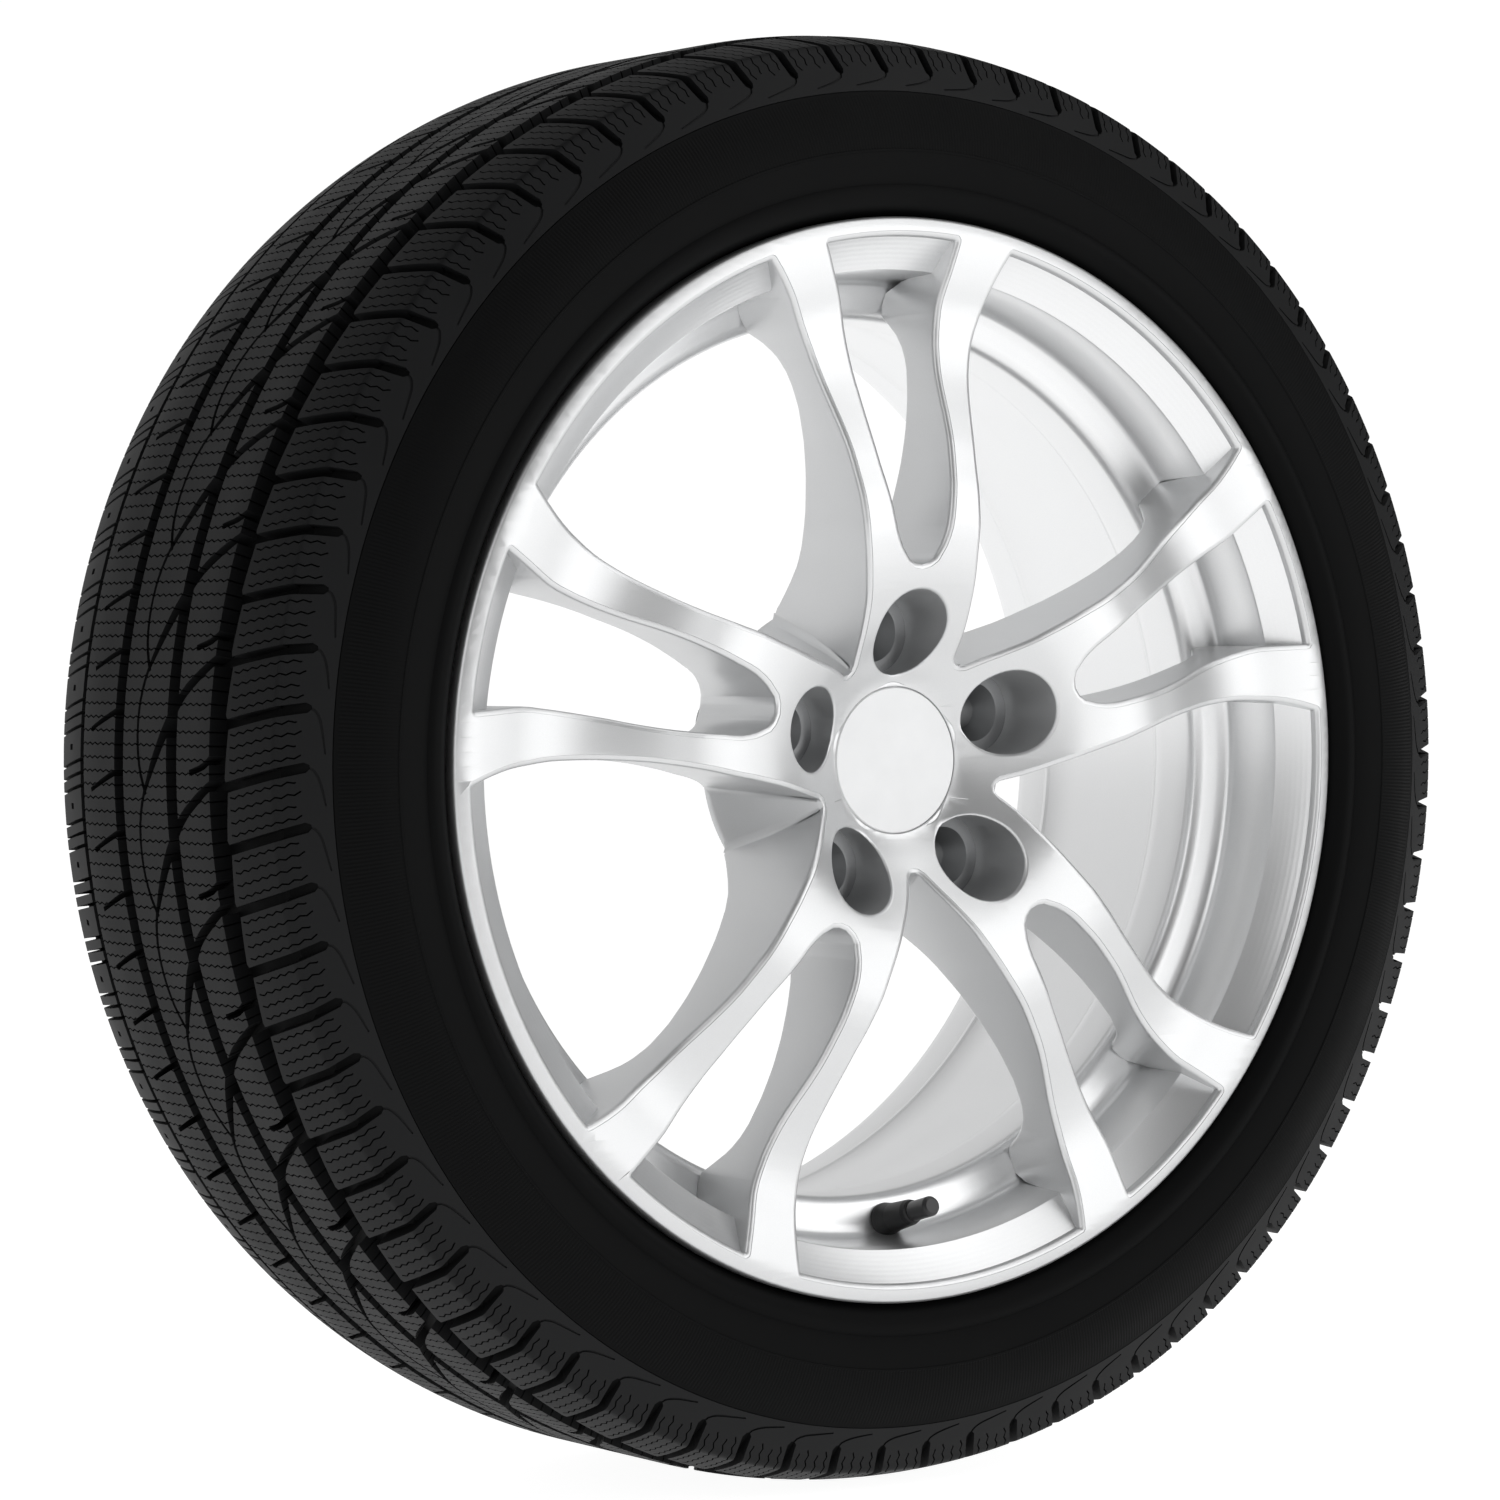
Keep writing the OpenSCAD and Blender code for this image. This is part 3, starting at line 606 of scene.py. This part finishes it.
def makeFace():
    slotLoop, windowLoop = forkOpenings()
    loops = [ringOf(face["lip"], 240), ringOf(face["recess"], 96)]
    wells = []
    for k in range(forkCount):
        angle = forkAngle - 90 + 72 * k
        loops.append(turned(slotLoop, angle))
        loops.append(turned(windowLoop, angle + 36))
        centre = turned([(0, face["wellCircle"])], angle)[0]
        wells.append(centre)
        loops.append(ringOf(face["wellRadius"], 48, centre))
    half, b = face["half"], face["edgeWidth"]
    piece = outlineSheet("rimFace", loops, half, b, face["edgeShape"])
    lines = np.arange(-234, 235, face["mesh"]) + face["meshStart"]
    slicePiece(piece, [((v, 0, 0), (1, 0, 0)) for v in lines] + [((0, v, 0), (0, 1, 0)) for v in lines])
    p = readPoints(piece)
    x, z, h = p[:, 0].copy(), p[:, 1].copy(), p[:, 2]
    drop = half - h  # below the face, for the front worked edge
    frontEdge = h > half - b - 1e-4

    def roundInto(near, t, size):  # replaces the worked edge by a plain round of another size
        bend = size * (1 - np.sqrt(np.clip(1 - (1 - t) ** 2, 0, 1)))
        drop[near & frontEdge] = bend[near & frontEdge]

    inner, size, blend = face["wellRadius"], face["wellRound"], face["wellBlend"]
    for centre in wells:
        dx, dz = x - centre[0], z - centre[1]
        rho = np.hypot(dx, dz)
        near = rho < inner + b + blend
        t = np.clip((rho - inner) / b, 0, 1)
        wanted = np.interp(rho, [inner, inner + b, inner + b + blend],
                           [inner, inner + size, inner + b + blend])
        scale = np.where(near, wanted / np.maximum(rho, 1), 1)
        roundInto(near & (rho < inner + b + 1e-3), t, size)
        x, z = np.where(near, centre[0] + dx * scale, x), np.where(near, centre[1] + dz * scale, z)
    blend = face["edgeBlend"]
    for side, start, size in ((1, face["recess"], face["recessRound"]),
                              (-1, face["lip"], face["lipRound"])):
        r = np.hypot(x, z)
        away = side * (r - start)
        t = np.clip(away / b, 0, 1)
        near = away < b + blend
        target = start + side * np.interp(away, [0, b, b + blend], [0, size, b + blend])
        roundInto(near & (away < b + 1e-3), t, size)
        scale = np.where(near, target / np.maximum(r, 1), 1)
        x, z = x * scale, z * scale
    r = np.hypot(x, z)
    smoothFace = smoothLine(faceLine, 1.5)
    front = np.interp(r, smoothFace[:, 0], smoothFace[:, 1])
    behind = np.interp(r, *np.array(backLine).T)
    rise = h + half  # above the back, for the back's worked edge
    backEdge = h < -(half - b) + 1e-4
    share = np.clip((half - b - h) / (2 * half - 2 * b), 0, 1)
    wall = (front + b) * (1 - share) + (behind - b) * share
    depth = np.where(frontEdge, front + drop, np.where(backEdge, behind - rise, wall))
    writePoints(piece, np.c_[x, depth - flangeDepth, z] * mm)
    tidyMesh(piece)
    smoothByAngle(piece, 26)
    return piece


rimFace = makeFace()
print("rim face:", len(rimFace.data.polygons), "faces")

# rim: barrel
barrel = {
    "steps": 216,
    "smooth": 28,  # edges sharper than this many degrees stay sharp
}
barrelInner = [(229.2, -0.6), (228.8, 1.0), (227.6, 2.6), (214.6, 11.9), (213.5, 12.6), (213.0, 13.8),
               (212.2, 26), (211.1, 38.4), (210.8, 40.6), (209.8, 42.3), (208.2, 43.6), (205, 44.6),
               (199, 46.2), (196.2, 47), (194.6, 48.3), (193.6, 50.2), (193.3, 52.5), (193.3, 60),
               (193.3, 70), (193.5, 73.5), (194.2, 76), (195.6, 77.6), (197.8, 79.6), (199.6, 81.8),
               (200.4, 83.2), (200.3, 84.4), (200.7, 85.6), (202.3, 87.4), (204, 108), (206, 128),
               (208.6, 154), (210.6, 176), (210.2, 177.6), (210.1, 179.4), (210.6, 180.8), (212.0, 182.4),
               (212.1, 186), (212.6, 199), (213.2, 202), (214.5, 205.6), (217, 207.2), (220, 208.2),
               (224, 208.9), (226.2, 209.6), (229, 213), (231, 215.9)]
barrelOuter = [(234.2, 215.9), (235.2, 215.5), (235.6, 214.5), (235.6, 207.4), (234.8, 205.4), (232, 203.9),
               (228, 203.2), (224, 203.2), (220, 202.1), (218.3, 199.4), (216.9, 182.9), (217.6, 179.9),
               (217.4, 176.9), (206, 129.9), (206, 85.9), (199.3, 76.9), (198.3, 74), (198.3, 53),
               (200.3, 51.4), (214.8, 47.6), (217.4, 39), (217.6, 36), (216.9, 33), (218.3, 16.5),
               (220, 13.8), (224, 12.7), (228, 12.7), (232, 12), (234.8, 10.5), (235.5, 8.5), (235.5, 3),
               (232, 2.0)]


def makeBarrel():
    piece = spinRing("rimBarrel", barrelInner + barrelOuter, barrel["steps"])
    smoothByAngle(piece, barrel["smooth"])
    return piece


rimBarrel = makeBarrel()
print("rim barrel:", len(rimBarrel.data.polygons), "faces")

# rim: hub, bolt seats and the fillets beside the forks
hub = {
    "steps": 180,
    "wellCut": 18.7,  # radius of the cut that opens a bolt well, and the depths it runs between
    "wellDepths": (-20, 60),
    "wellFloor": 30.0,  # depth of a bolt well
    "seatRim": 18.6,
    "seatRadius": 13.0,
    "seatAngle": 30,
    "seatBack": 65.4,
    "holeRadius": 7.3,
    "holeDepths": (50, 80),
    "pockets": ((45, 6.5), (50, 8)),  # distance from the axle and radius, in the back of the pad
    "pocketDepths": (50, 82),
    "fillet": 5.5,  # round between a fork's wall and the hub's cone
    "filletDepths": (9.5, 63.0),
    "filletGrid": (40, 10),  # points down the cone and across the round
}
hubCone = [(46, 12), (48.6, 8.6), (49.2, 7.6), (50.2, 9.2), (52.5, 14), (55, 20), (58.2, 28), (61.2, 36),
           (63.5, 43), (65.6, 50), (67.4, 56), (68.8, 61), (69.5, 64.4), (69.2, 65.5), (68.7, 65.95)]
hubBore = [(29.55, 65.95), (28.55, 64.95), (28.55, 51.95), (30, 50.95), (30, 31), (28, 31), (28, 20),
           (32.2, 20), (32.2, 17.4)]


def makeHub():
    piece = spinRing("rimHub", [(33.5, 17.3), (40, 15)] + hubCone + hubBore, hub["steps"])
    cutters = []
    for k in range(forkCount):
        a = math.radians(forkAngle + 72 * k)
        x, z = face["wellCircle"] * math.cos(a), face["wellCircle"] * math.sin(a)
        cutters.append(drillAt(x, z, hub["wellCut"], hub["wellDepths"], 64))
        cutters.append(drillAt(x, z, hub["holeRadius"], hub["holeDepths"], 64))
        a += math.radians(36)
        for far, radius in hub["pockets"]:
            cutters.append(drillAt(far * math.cos(a), far * math.sin(a), radius, hub["pocketDepths"], 40))
    cutWith(piece, cutters)
    smoothByAngle(piece, 30)
    return piece


def makeBoltSeats():
    r, hole, floor = hub["seatRadius"], hub["holeRadius"], hub["wellFloor"]
    cone = (r - hole) / math.tan(math.radians(hub["seatAngle"]))
    outline = [(hub["seatRim"], floor), (r + 0.3, floor), (r, floor + 0.15), (hole, floor + cone),
               (hole, hub["seatBack"]), (hub["seatRim"], hub["seatBack"])]
    first = spinRing("boltSeat", outline, 64)
    smoothByAngle(first, 30)
    shape = readPoints(first)
    seats = [first if k == 0 else copyOf(first) for k in range(forkCount)]
    for k, seat in enumerate(seats):
        a = math.radians(forkAngle + 72 * k)
        middle = [face["wellCircle"] * math.cos(a) * mm, 0, face["wellCircle"] * math.sin(a) * mm]
        writePoints(seat, shape + middle)
    return joinAll(seats, "boltSeats")


def makeFillets():  # one strip on each side of the five notches, swept down the cone
    cone = np.array(hubCone[3:-2])
    rows, across = hub["filletGrid"]
    top, bottom = hub["filletDepths"]
    depths = np.linspace(top, bottom, rows)
    coneR = np.interp(depths, cone[:, 1], cone[:, 0])
    wall = np.array(legLine)
    bpy.ops.object.select_all(action="DESELECT")
    bpy.ops.mesh.primitive_grid_add(x_subdivisions=across - 1, y_subdivisions=rows - 1, size=0.1)
    base = bpy.context.object
    grid = np.zeros((rows, across, 3))
    for i, (depth, big) in enumerate(zip(depths, coneR)):
        size = hub["fillet"] * min(1.0, 0.35 + 0.65 * (depth - top) / 25)  # grows over the first 25 mm
        side = np.interp(60, wall[:, 1], wall[:, 0])
        high = math.sqrt((big + size) ** 2 - (side + size) ** 2)
        side = np.interp(high, wall[:, 1], wall[:, 0])
        centre = np.array([side + size, math.sqrt((big + size) ** 2 - (side + size) ** 2)])
        toAxis = -centre / np.linalg.norm(centre)
        toWall = math.pi
        toCone = math.atan2(toAxis[1], toAxis[0]) % (2 * math.pi)
        for j, a in enumerate(np.linspace(toWall, toCone, across)):
            q = centre + (size + 0.06) * np.array([math.cos(a), math.sin(a)])
            angle = math.degrees(math.atan2(q[0], q[1]))
            if angle > 36:  # not past the middle of the notch
                far = np.linalg.norm(q)
                q = far * np.array([math.sin(math.radians(36)), math.cos(math.radians(36))])
            grid[i, j] = (q[0], depth, q[1])
    strips = []
    for k in range(forkCount):
        for flip in (1, -1):
            strip = copyOf(base)
            pts = grid.reshape(-1, 3) * [flip, 1, 1]
            xz = turned(pts[:, [0, 2]], forkAngle - 90 + 72 * k)
            writePoints(strip, np.c_[xz[:, 0], pts[:, 1] - flangeDepth, xz[:, 1]] * mm)
            strips.append(strip)
    bpy.data.objects.remove(base)
    piece = joinAll(strips, "hubFillets")
    bpy.ops.object.shade_smooth()
    return piece


rimHub = makeHub()
boltSeats = makeBoltSeats()
hubFillets = makeFillets()
forkNodes = [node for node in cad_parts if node.startswith("fork_")]
place(rimFace, "forkSilver", "silver_alloy", "rim_hub", *forkNodes)
for piece in (rimHub, hubFillets):
    place(piece, "forkSilver", "silver_alloy", "rim_hub")
# the bolt seats take the darker copy of the alloy, painted shade in the wells
place(boltSeats, "seatSilverPaintedShade", "silver_alloy", "rim_hub")
# the barrel takes the lighter copy of the alloy, painted light on its inside
place(rimBarrel, "barrelSilverPaintedLight", "silver_alloy", "rim_barrel")
print("hub:", len(rimHub.data.polygons), "faces, fillets", len(hubFillets.data.polygons))

# tyre: section of its outer skin
tyre = {
    "radius": 319.1,
    "middle": 108.0,  # depth of the tyre's middle plane
    "flat": 40.0,
    "arc": 164.0,
    "units": 39,  # repeats of the tread pattern
    "steps": 234,
    "blockDepth": 8.8,
    "edgeRing": 290.0,  # radius where the shoulder blocks end on the sidewall
}
unitLength = 2 * math.pi * tyre["radius"] / tyre["units"]


def crownAt(z):
    return tyre["radius"] - np.maximum(np.abs(z) - tyre["flat"], 0) ** 2 / (2 * tyre["arc"])


def halfSection():  # from the crown's middle over the shoulder to the belly, as (radius, z)
    z = np.concatenate([np.arange(0, 41, 5.0), np.arange(43, 91.5, 2.4)])
    crown = np.c_[crownAt(z), z]
    shoulder = smoothLine([(311.1, 91.2), (310.4, 92.5), (309.2, 93.5), (307.6, 94.3), (303.5, 96.5)], 0.9)
    buttress = smoothLine([(303.5, 96.5), (298, 99.5), (290, 103.7), (282, 107.8), (278, 109.4)], 2.0)
    return np.vstack([crown, shoulder, buttress[1:]])


skin = halfSection()
skinS = np.r_[0, np.cumsum(np.hypot(*np.diff(skin, axis=0).T))]
skinDir = np.gradient(skin, skinS, axis=0)
skinDir /= np.linalg.norm(skinDir, axis=1)[:, None]
skinOut = np.c_[skinDir[:, 1], -skinDir[:, 0]]  # outward normal as (radius, z)


def alongAt(z):  # arc length from the middle for a plan distance z on the crown
    return np.sign(z) * np.interp(abs(z), skin[:, 1], skinS)


def alongAtRadius(radius):
    return float(np.interp(-radius, -skin[:, 0], skinS))


def wrapTread(flat):  # flat pattern (round the tyre, across it, height) onto the skin
    t, s, h = flat[:, 0], flat[:, 1], flat[:, 2]
    side = np.where(s < 0, -1, 1)
    a = np.abs(s)
    r = np.interp(a, skinS, skin[:, 0]) + h * np.interp(a, skinS, skinOut[:, 0])
    z = np.interp(a, skinS, skin[:, 1]) + h * np.interp(a, skinS, skinOut[:, 1])
    angle = t / tyre["radius"]
    y = tyre["middle"] - side * z - flangeDepth
    return np.c_[r * np.cos(angle), y, r * np.sin(angle)] * mm


# tyre: casing with the sidewalls
casing = {
    "floorDrop": ((0, 8.2), (64, 8.2), (84, 7.4), (91, 6.8)),  # groove floor under the crown, by z
    "sideDrop": ((308, 5.6), (303, 3.2), (298, 1.1), (291.5, 0.8), (290.2, 0.7)),  # by radius
}
sideLine = [(289.6, 103.95), (289, 104.2), (282, 107.8), (278, 109.4), (273, 111.1), (268, 112.15),
            (264.6, 112.48), (264.2, 112.9), (263.4, 112.9), (263, 112.5), (258, 112.15), (254, 111.4),
            (250.6, 110.4), (249.4, 109.9), (248.6, 110.5), (247, 111.2), (245.2, 111.3), (243.4, 110.7),
            (241, 108.9), (238.8, 106.4), (237, 103.6), (236.3, 100.5), (236.15, 98), (235.2, 96.4),
            (231.6, 95.15), (225, 95.15), (220.8, 93.85), (218.4, 91.05), (216.96, 75.05)]
insideLine = [(218.7, 70), (230.3, 79.15), (244.3, 90.5), (255, 101.5), (269, 104.5), (285, 98.5),
              (295.3, 84), (303.5, 20)]


def makeCasing():
    outer = []
    for z in (0, 20, 40, 50, 60, 68, 76, 84, 88, 91):
        s = alongAt(z)
        drop = np.interp(z, *np.array(casing["floorDrop"]).T)
        n = [np.interp(s, skinS, skinOut[:, i]) for i in (0, 1)]
        outer.append((crownAt(z) - drop * n[0], z - drop * n[1]))
    for radius, drop in casing["sideDrop"]:
        s = alongAtRadius(radius)
        n = [np.interp(s, skinS, skinOut[:, i]) for i in (0, 1)]
        outer.append((radius - drop * n[0], np.interp(s, skinS, skin[:, 1]) - drop * n[1]))
    half = outer + sideLine + insideLine
    outline = half + [(r, -z) for r, z in half[:0:-1]]
    piece = spinRing("tyreCasing", [(r, tyre["middle"] - z) for r, z in outline], tyre["steps"])
    smoothByAngle(piece, 32)
    return piece


tyreCasing = makeCasing()
print("casing:", len(tyreCasing.data.polygons), "faces")

# tyre: tread, one unit of the pattern cut flat, then wrapped and repeated
tread = {
    "sipe": 0.7,  # width of a sipe
    "wave": 0.5,  # how far a sipe swings to each side
    "wavelength": 5.2,
    "sipes": 9,  # in each unit of a rib
    "phase": 0.37,  # degrees between one kind of groove and the next
    "outerRib": (26.0, 53.0),  # plan distance from the tyre's middle, outboard counted up
    "middleRib": (-21.0, 17.0),
    "innerRib": (-59.0, -29.0),
    "cutDepth": 12.0,  # cutters reach below the blocks and above the skin
    "cutTop": 2.0,
    "scoring": 6.0,  # spacing of the mesh lines across a shoulder
}
outerShoulder = {
    "edge": 65.0,  # plan distance where its blocks begin
    "bend": 91.9,  # and where the crown turns down to the sidewall
    "tooth": (1.0, 1.1),  # how far the blocks' edge swings in and out
    "slant": 0.21,
    "lateral": (4.5, 4.5, 1.6),  # width of a lateral groove along its run
    "runOut": 298.0,  # radius where it ends
    "sipeEnd": (301.0, 303.0),
    "hook": (1.1, 1.1, 0.7),  # width of the hooks on the sidewall
    "hookDepth": 0.7,
    "hookReach": (20.0, 17.0),
}
innerShoulder = {
    "edge": 63.0,
    "slant": 0.16,
    "pad": 0.8,  # half the gap between two units
    "line": (1.7, 1.3),
    "lineEnd": (298.0, 303.0),  # radius for the line in the middle of three and for the others
    "dimpleAt": 76.0,
    "dimple": (1.3, 1.9),
    "dimpleDepth": 2.5,
}
degree = math.radians(1) * tyre["radius"]  # mm round the tread
diagonal = [(-29, 58), (-22.5, 46), (-12.5, 30), (0, 18), (13, 8), (28, -2)]
diagonalWidth = [3.6, 4.6, 5, 6, 4.6, 2.4]
sideNotch = [(-3, 60), (4, 49), (7, 37)]
sideNotchWidth = [3.4, 3, 2.4]
ribNotch = [(-4, -24), (-1, -34), (5, -51)]
ribNotchWidth = [2.8, 2.5, 2]
scallop = [(27, -1.6), (33, -4.6), (42, -7.4), (53, -8.4), (64, -7.6), (73, -5.2), (81, -1.2)]
scallopWidth = [2.2, 1.9, 2.2]


def ribbonLoop(line, widths):
    p = np.array(line, float)
    w = np.interp(np.linspace(0, 1, len(p)), np.linspace(0, 1, len(widths)), widths)
    along = np.gradient(p, axis=0)
    along /= np.linalg.norm(along, axis=1)[:, None]
    n = np.c_[-along[:, 1], along[:, 0]] * w[:, None] / 2
    return np.vstack([p + n, (p - n)[::-1]])


def wavyLine(start, end, amplitude):  # zigzag of a sipe, its corners at the same places all round
    a, b = np.array(start, float), np.array(end, float)
    half = tread["wavelength"] / 2
    low, high = sorted((a[1], b[1]))
    corners = np.arange(math.floor(low / half), math.ceil(high / half) + 1)
    s = np.unique(np.clip(corners * half, low, high))
    s = s if b[1] > a[1] else s[::-1]
    swing = amplitude * np.interp(s / half, corners, np.where(corners % 2 == 0, 1, -1))
    t = (s - a[1]) / (b[1] - a[1])
    n = np.array([-(b - a)[1], (b - a)[0]]) / np.linalg.norm(b - a)
    return a + np.outer(t, b - a) + np.outer(swing, n)


def slab(name, loop, top, bottom):
    half = (top - bottom) / 2
    piece = outlineSheet(name, [loop], half)
    points = readPoints(piece)
    points[:, 2] += (top + bottom) / 2
    writePoints(piece, points)
    return piece


def cutterSet(name, loops, bottom=-tread["cutDepth"], top=tread["cutTop"]):
    return joinAll([slab(name, loop, top, bottom) for loop in loops], name)


def shifted(loop, pitch, places):
    return [np.array(loop) + [pitch * k, 0] for k in places]


def grooveLoop(line, start, widths):  # bent groove along points of (round the tyre, plan distance)
    flat = [(t, alongAt(z)) for t, z in line]
    return ribbonLoop(smoothLine(flat, 4) + [start, 0], widths)


def makeRib(low, high, grooves):  # rib between two plan distances, with its sipes straight across
    s0, s1 = alongAt(low), alongAt(high)
    pad = tread["sipe"] / 2
    pitch = unitLength / tread["sipes"]
    left = wavyLine((0, s0), (0, s1), tread["wave"])
    loop = np.vstack([left + [pad, 0], (left + [unitLength - pad, 0])[::-1]])
    rib = slab("rib", loop, 0.0, -tyre["blockDepth"])
    sipes = []
    for k in range(1, tread["sipes"]):
        line = wavyLine((0, s0 - 3), (0, s1 + 3), tread["wave"])
        sipes.append(ribbonLoop(line + [k * pitch, 0], [tread["sipe"]]))
    cutWith(rib, [cutterSet("sipes", sipes)])
    for group in grooves:
        cutWith(rib, [cutterSet("grooves", group)])
    return rib


def makeRibs():
    diagonalAt = 4 * tread["phase"] * degree
    notchAt = (4 * tread["phase"] + 90 / tyre["units"]) * degree
    ribNotchAt = 3 * tread["phase"] * degree
    diagonals = shifted(grooveLoop(diagonal, diagonalAt, diagonalWidth), unitLength, (-1, 0, 1))
    notches = shifted(grooveLoop(sideNotch, notchAt, sideNotchWidth), unitLength, (-1, 0, 1))
    arc = grooveLoop(scallop, diagonalAt, scallopWidth)
    arcs, arcsBetween = shifted(arc, unitLength, (-2, 0)), shifted(arc, unitLength, (-1,))
    ribNotches = shifted(grooveLoop(ribNotch, ribNotchAt, ribNotchWidth), unitLength / 2, (-1, 0, 1, 2))
    return (makeRib(*tread["outerRib"], [diagonals, notches]),
            makeRib(*tread["middleRib"], [diagonals, arcs, arcsBetween]),
            makeRib(*tread["innerRib"], [ribNotches]))


def scoreShoulder(piece, edge, ring, side):  # mesh lines, so that it can follow the skin's bend
    finer = alongAt(outerShoulder["bend"]) - 2
    rows = [v for v in skinS if edge < v < ring]
    rows = [side * v for i, v in enumerate(rows) if i % 2 == 0 or v > finer]
    slicePiece(piece, [((0, v, 0), (0, 1, 0)) for v in rows]
               + [((v * tread["scoring"] + 1, 0, 0), (1, 0, 0)) for v in range(-1, 12)])


def makeOuterShoulder():
    start, pitch = tread["phase"] * degree, unitLength / 2
    edge, bend = alongAt(outerShoulder["edge"]), alongAt(outerShoulder["bend"])
    run, ring = alongAtRadius(outerShoulder["runOut"]), alongAtRadius(tyre["edgeRing"])

    def slanted(s, offset):
        return (start + offset + (bend - s) * outerShoulder["slant"], s)

    far, near = edge + outerShoulder["tooth"][0], edge - outerShoulder["tooth"][1]
    loop = [slanted(far, 0), slanted(ring, 0), slanted(ring, unitLength), slanted(far, unitLength),
            slanted(near, unitLength - 4), slanted(far, unitLength / 2 + 2),
            slanted(near, unitLength / 2 - 4), slanted(far, 2)]
    piece = slab("shoulder", np.array(loop), 0.0, -tyre["blockDepth"])
    laterals = []
    for k in (0, 1, 2):
        line = [slanted(s, pitch * k) for s in (edge - 6, run - 2, run)]
        laterals.append(ribbonLoop(line, outerShoulder["lateral"]))
    cutWith(piece, [cutterSet("laterals", laterals)])
    sipes = []
    for k in range(2):
        for j in range(1, 5):
            offset = pitch * (k + j / 5)
            end = alongAtRadius(outerShoulder["sipeEnd"][j % 2])
            line = wavyLine(slanted(edge + 2.2, offset), slanted(end, offset), tread["wave"])
            sipes.append(ribbonLoop(line, [tread["sipe"]]))
    cutWith(piece, [cutterSet("sipes", sipes)])
    for k in (-1, 0, 1):
        t0, s0 = slanted(run - 1, pitch * k)
        reach = outerShoulder["hookReach"][k % 2]
        line = smoothLine([(t0, s0), (t0 + 1.2, s0 + 2.4), (t0 + 5, s0 + 4.6), (t0 + 0.6 * reach, s0 + 6),
                           (t0 + reach, s0 + 7.2)], 2.5)
        hook = ribbonLoop(line, outerShoulder["hook"])
        cutWith(piece, [cutterSet("hook", [hook], bottom=-outerShoulder["hookDepth"])])
    scoreShoulder(piece, edge, ring, 1)
    return piece


def makeInnerShoulder():
    start, pitch, pad = 2 * tread["phase"] * degree, unitLength / 2, innerShoulder["pad"]
    edge, ring = -alongAt(innerShoulder["edge"]), -alongAtRadius(tyre["edgeRing"])

    def slanted(s, offset):
        return (start + offset + (edge - s) * innerShoulder["slant"], s)

    loop = [slanted(edge, pad), slanted(edge, unitLength - pad),
            slanted(ring, unitLength - pad + 0.75), slanted(ring, pad - 0.75)]
    piece = slab("shoulder", np.array(loop), 0.0, -tyre["blockDepth"])
    lines = []
    for k in (0, 1, 2):
        for j in (-1, 0, 1):
            offset = pitch * k + j * degree
            if -1 < offset < unitLength + 1 and abs(offset) > 0.1 and abs(offset - unitLength) > 0.1:
                end = -alongAtRadius(innerShoulder["lineEnd"][abs(j)])
                line = [slanted(edge + 4, offset), slanted(end, offset)]
                lines.append(ribbonLoop(line, innerShoulder["line"]))
    cutWith(piece, [cutterSet("lines", lines)])
    dimples = []
    wide, high = innerShoulder["dimple"]
    for k in (0, 1):
        t0, s0 = slanted(-alongAt(innerShoulder["dimpleAt"]), pitch * (k + 0.5))
        corners = ((-1, -1), (1, -1), (1, 1), (-1, 1))
        dimples.append(np.array([(t0 + i * wide, s0 + j * high) for i, j in corners]))
    cutWith(piece, [cutterSet("dimples", dimples, bottom=-innerShoulder["dimpleDepth"])])
    scoreShoulder(piece, -edge, -ring, -1)
    return piece


def repeatUnit(unit, name):
    unit.name = name
    editing(unit)
    bpy.ops.mesh.quads_convert_to_tris()
    doneEditing()
    flat = readPoints(unit)
    copies = []
    for k in range(tyre["units"]):
        part = unit if k == tyre["units"] - 1 else copyOf(unit)
        writePoints(part, wrapTread(flat + [unitLength * k, 0, 0]))
        copies.append(part)
    whole = joinAll(copies, name)
    smoothByAngle(whole, 35)
    return whole


ribOuter, ribMiddle, ribInner = makeRibs()
units = {"shoulderOuter": makeOuterShoulder(), "ribOuter": ribOuter, "ribMiddle": ribMiddle,
         "ribInner": ribInner, "shoulderInner": makeInnerShoulder()}
for name, unit in units.items():
    whole = repeatUnit(unit, name)
    place(whole, "treadRubber", "tyre_rubber", "tyre")
    print(name + ":", len(whole.data.polygons), "triangles")
place(tyreCasing, "sideRubber", "tyre_rubber", "tyre")
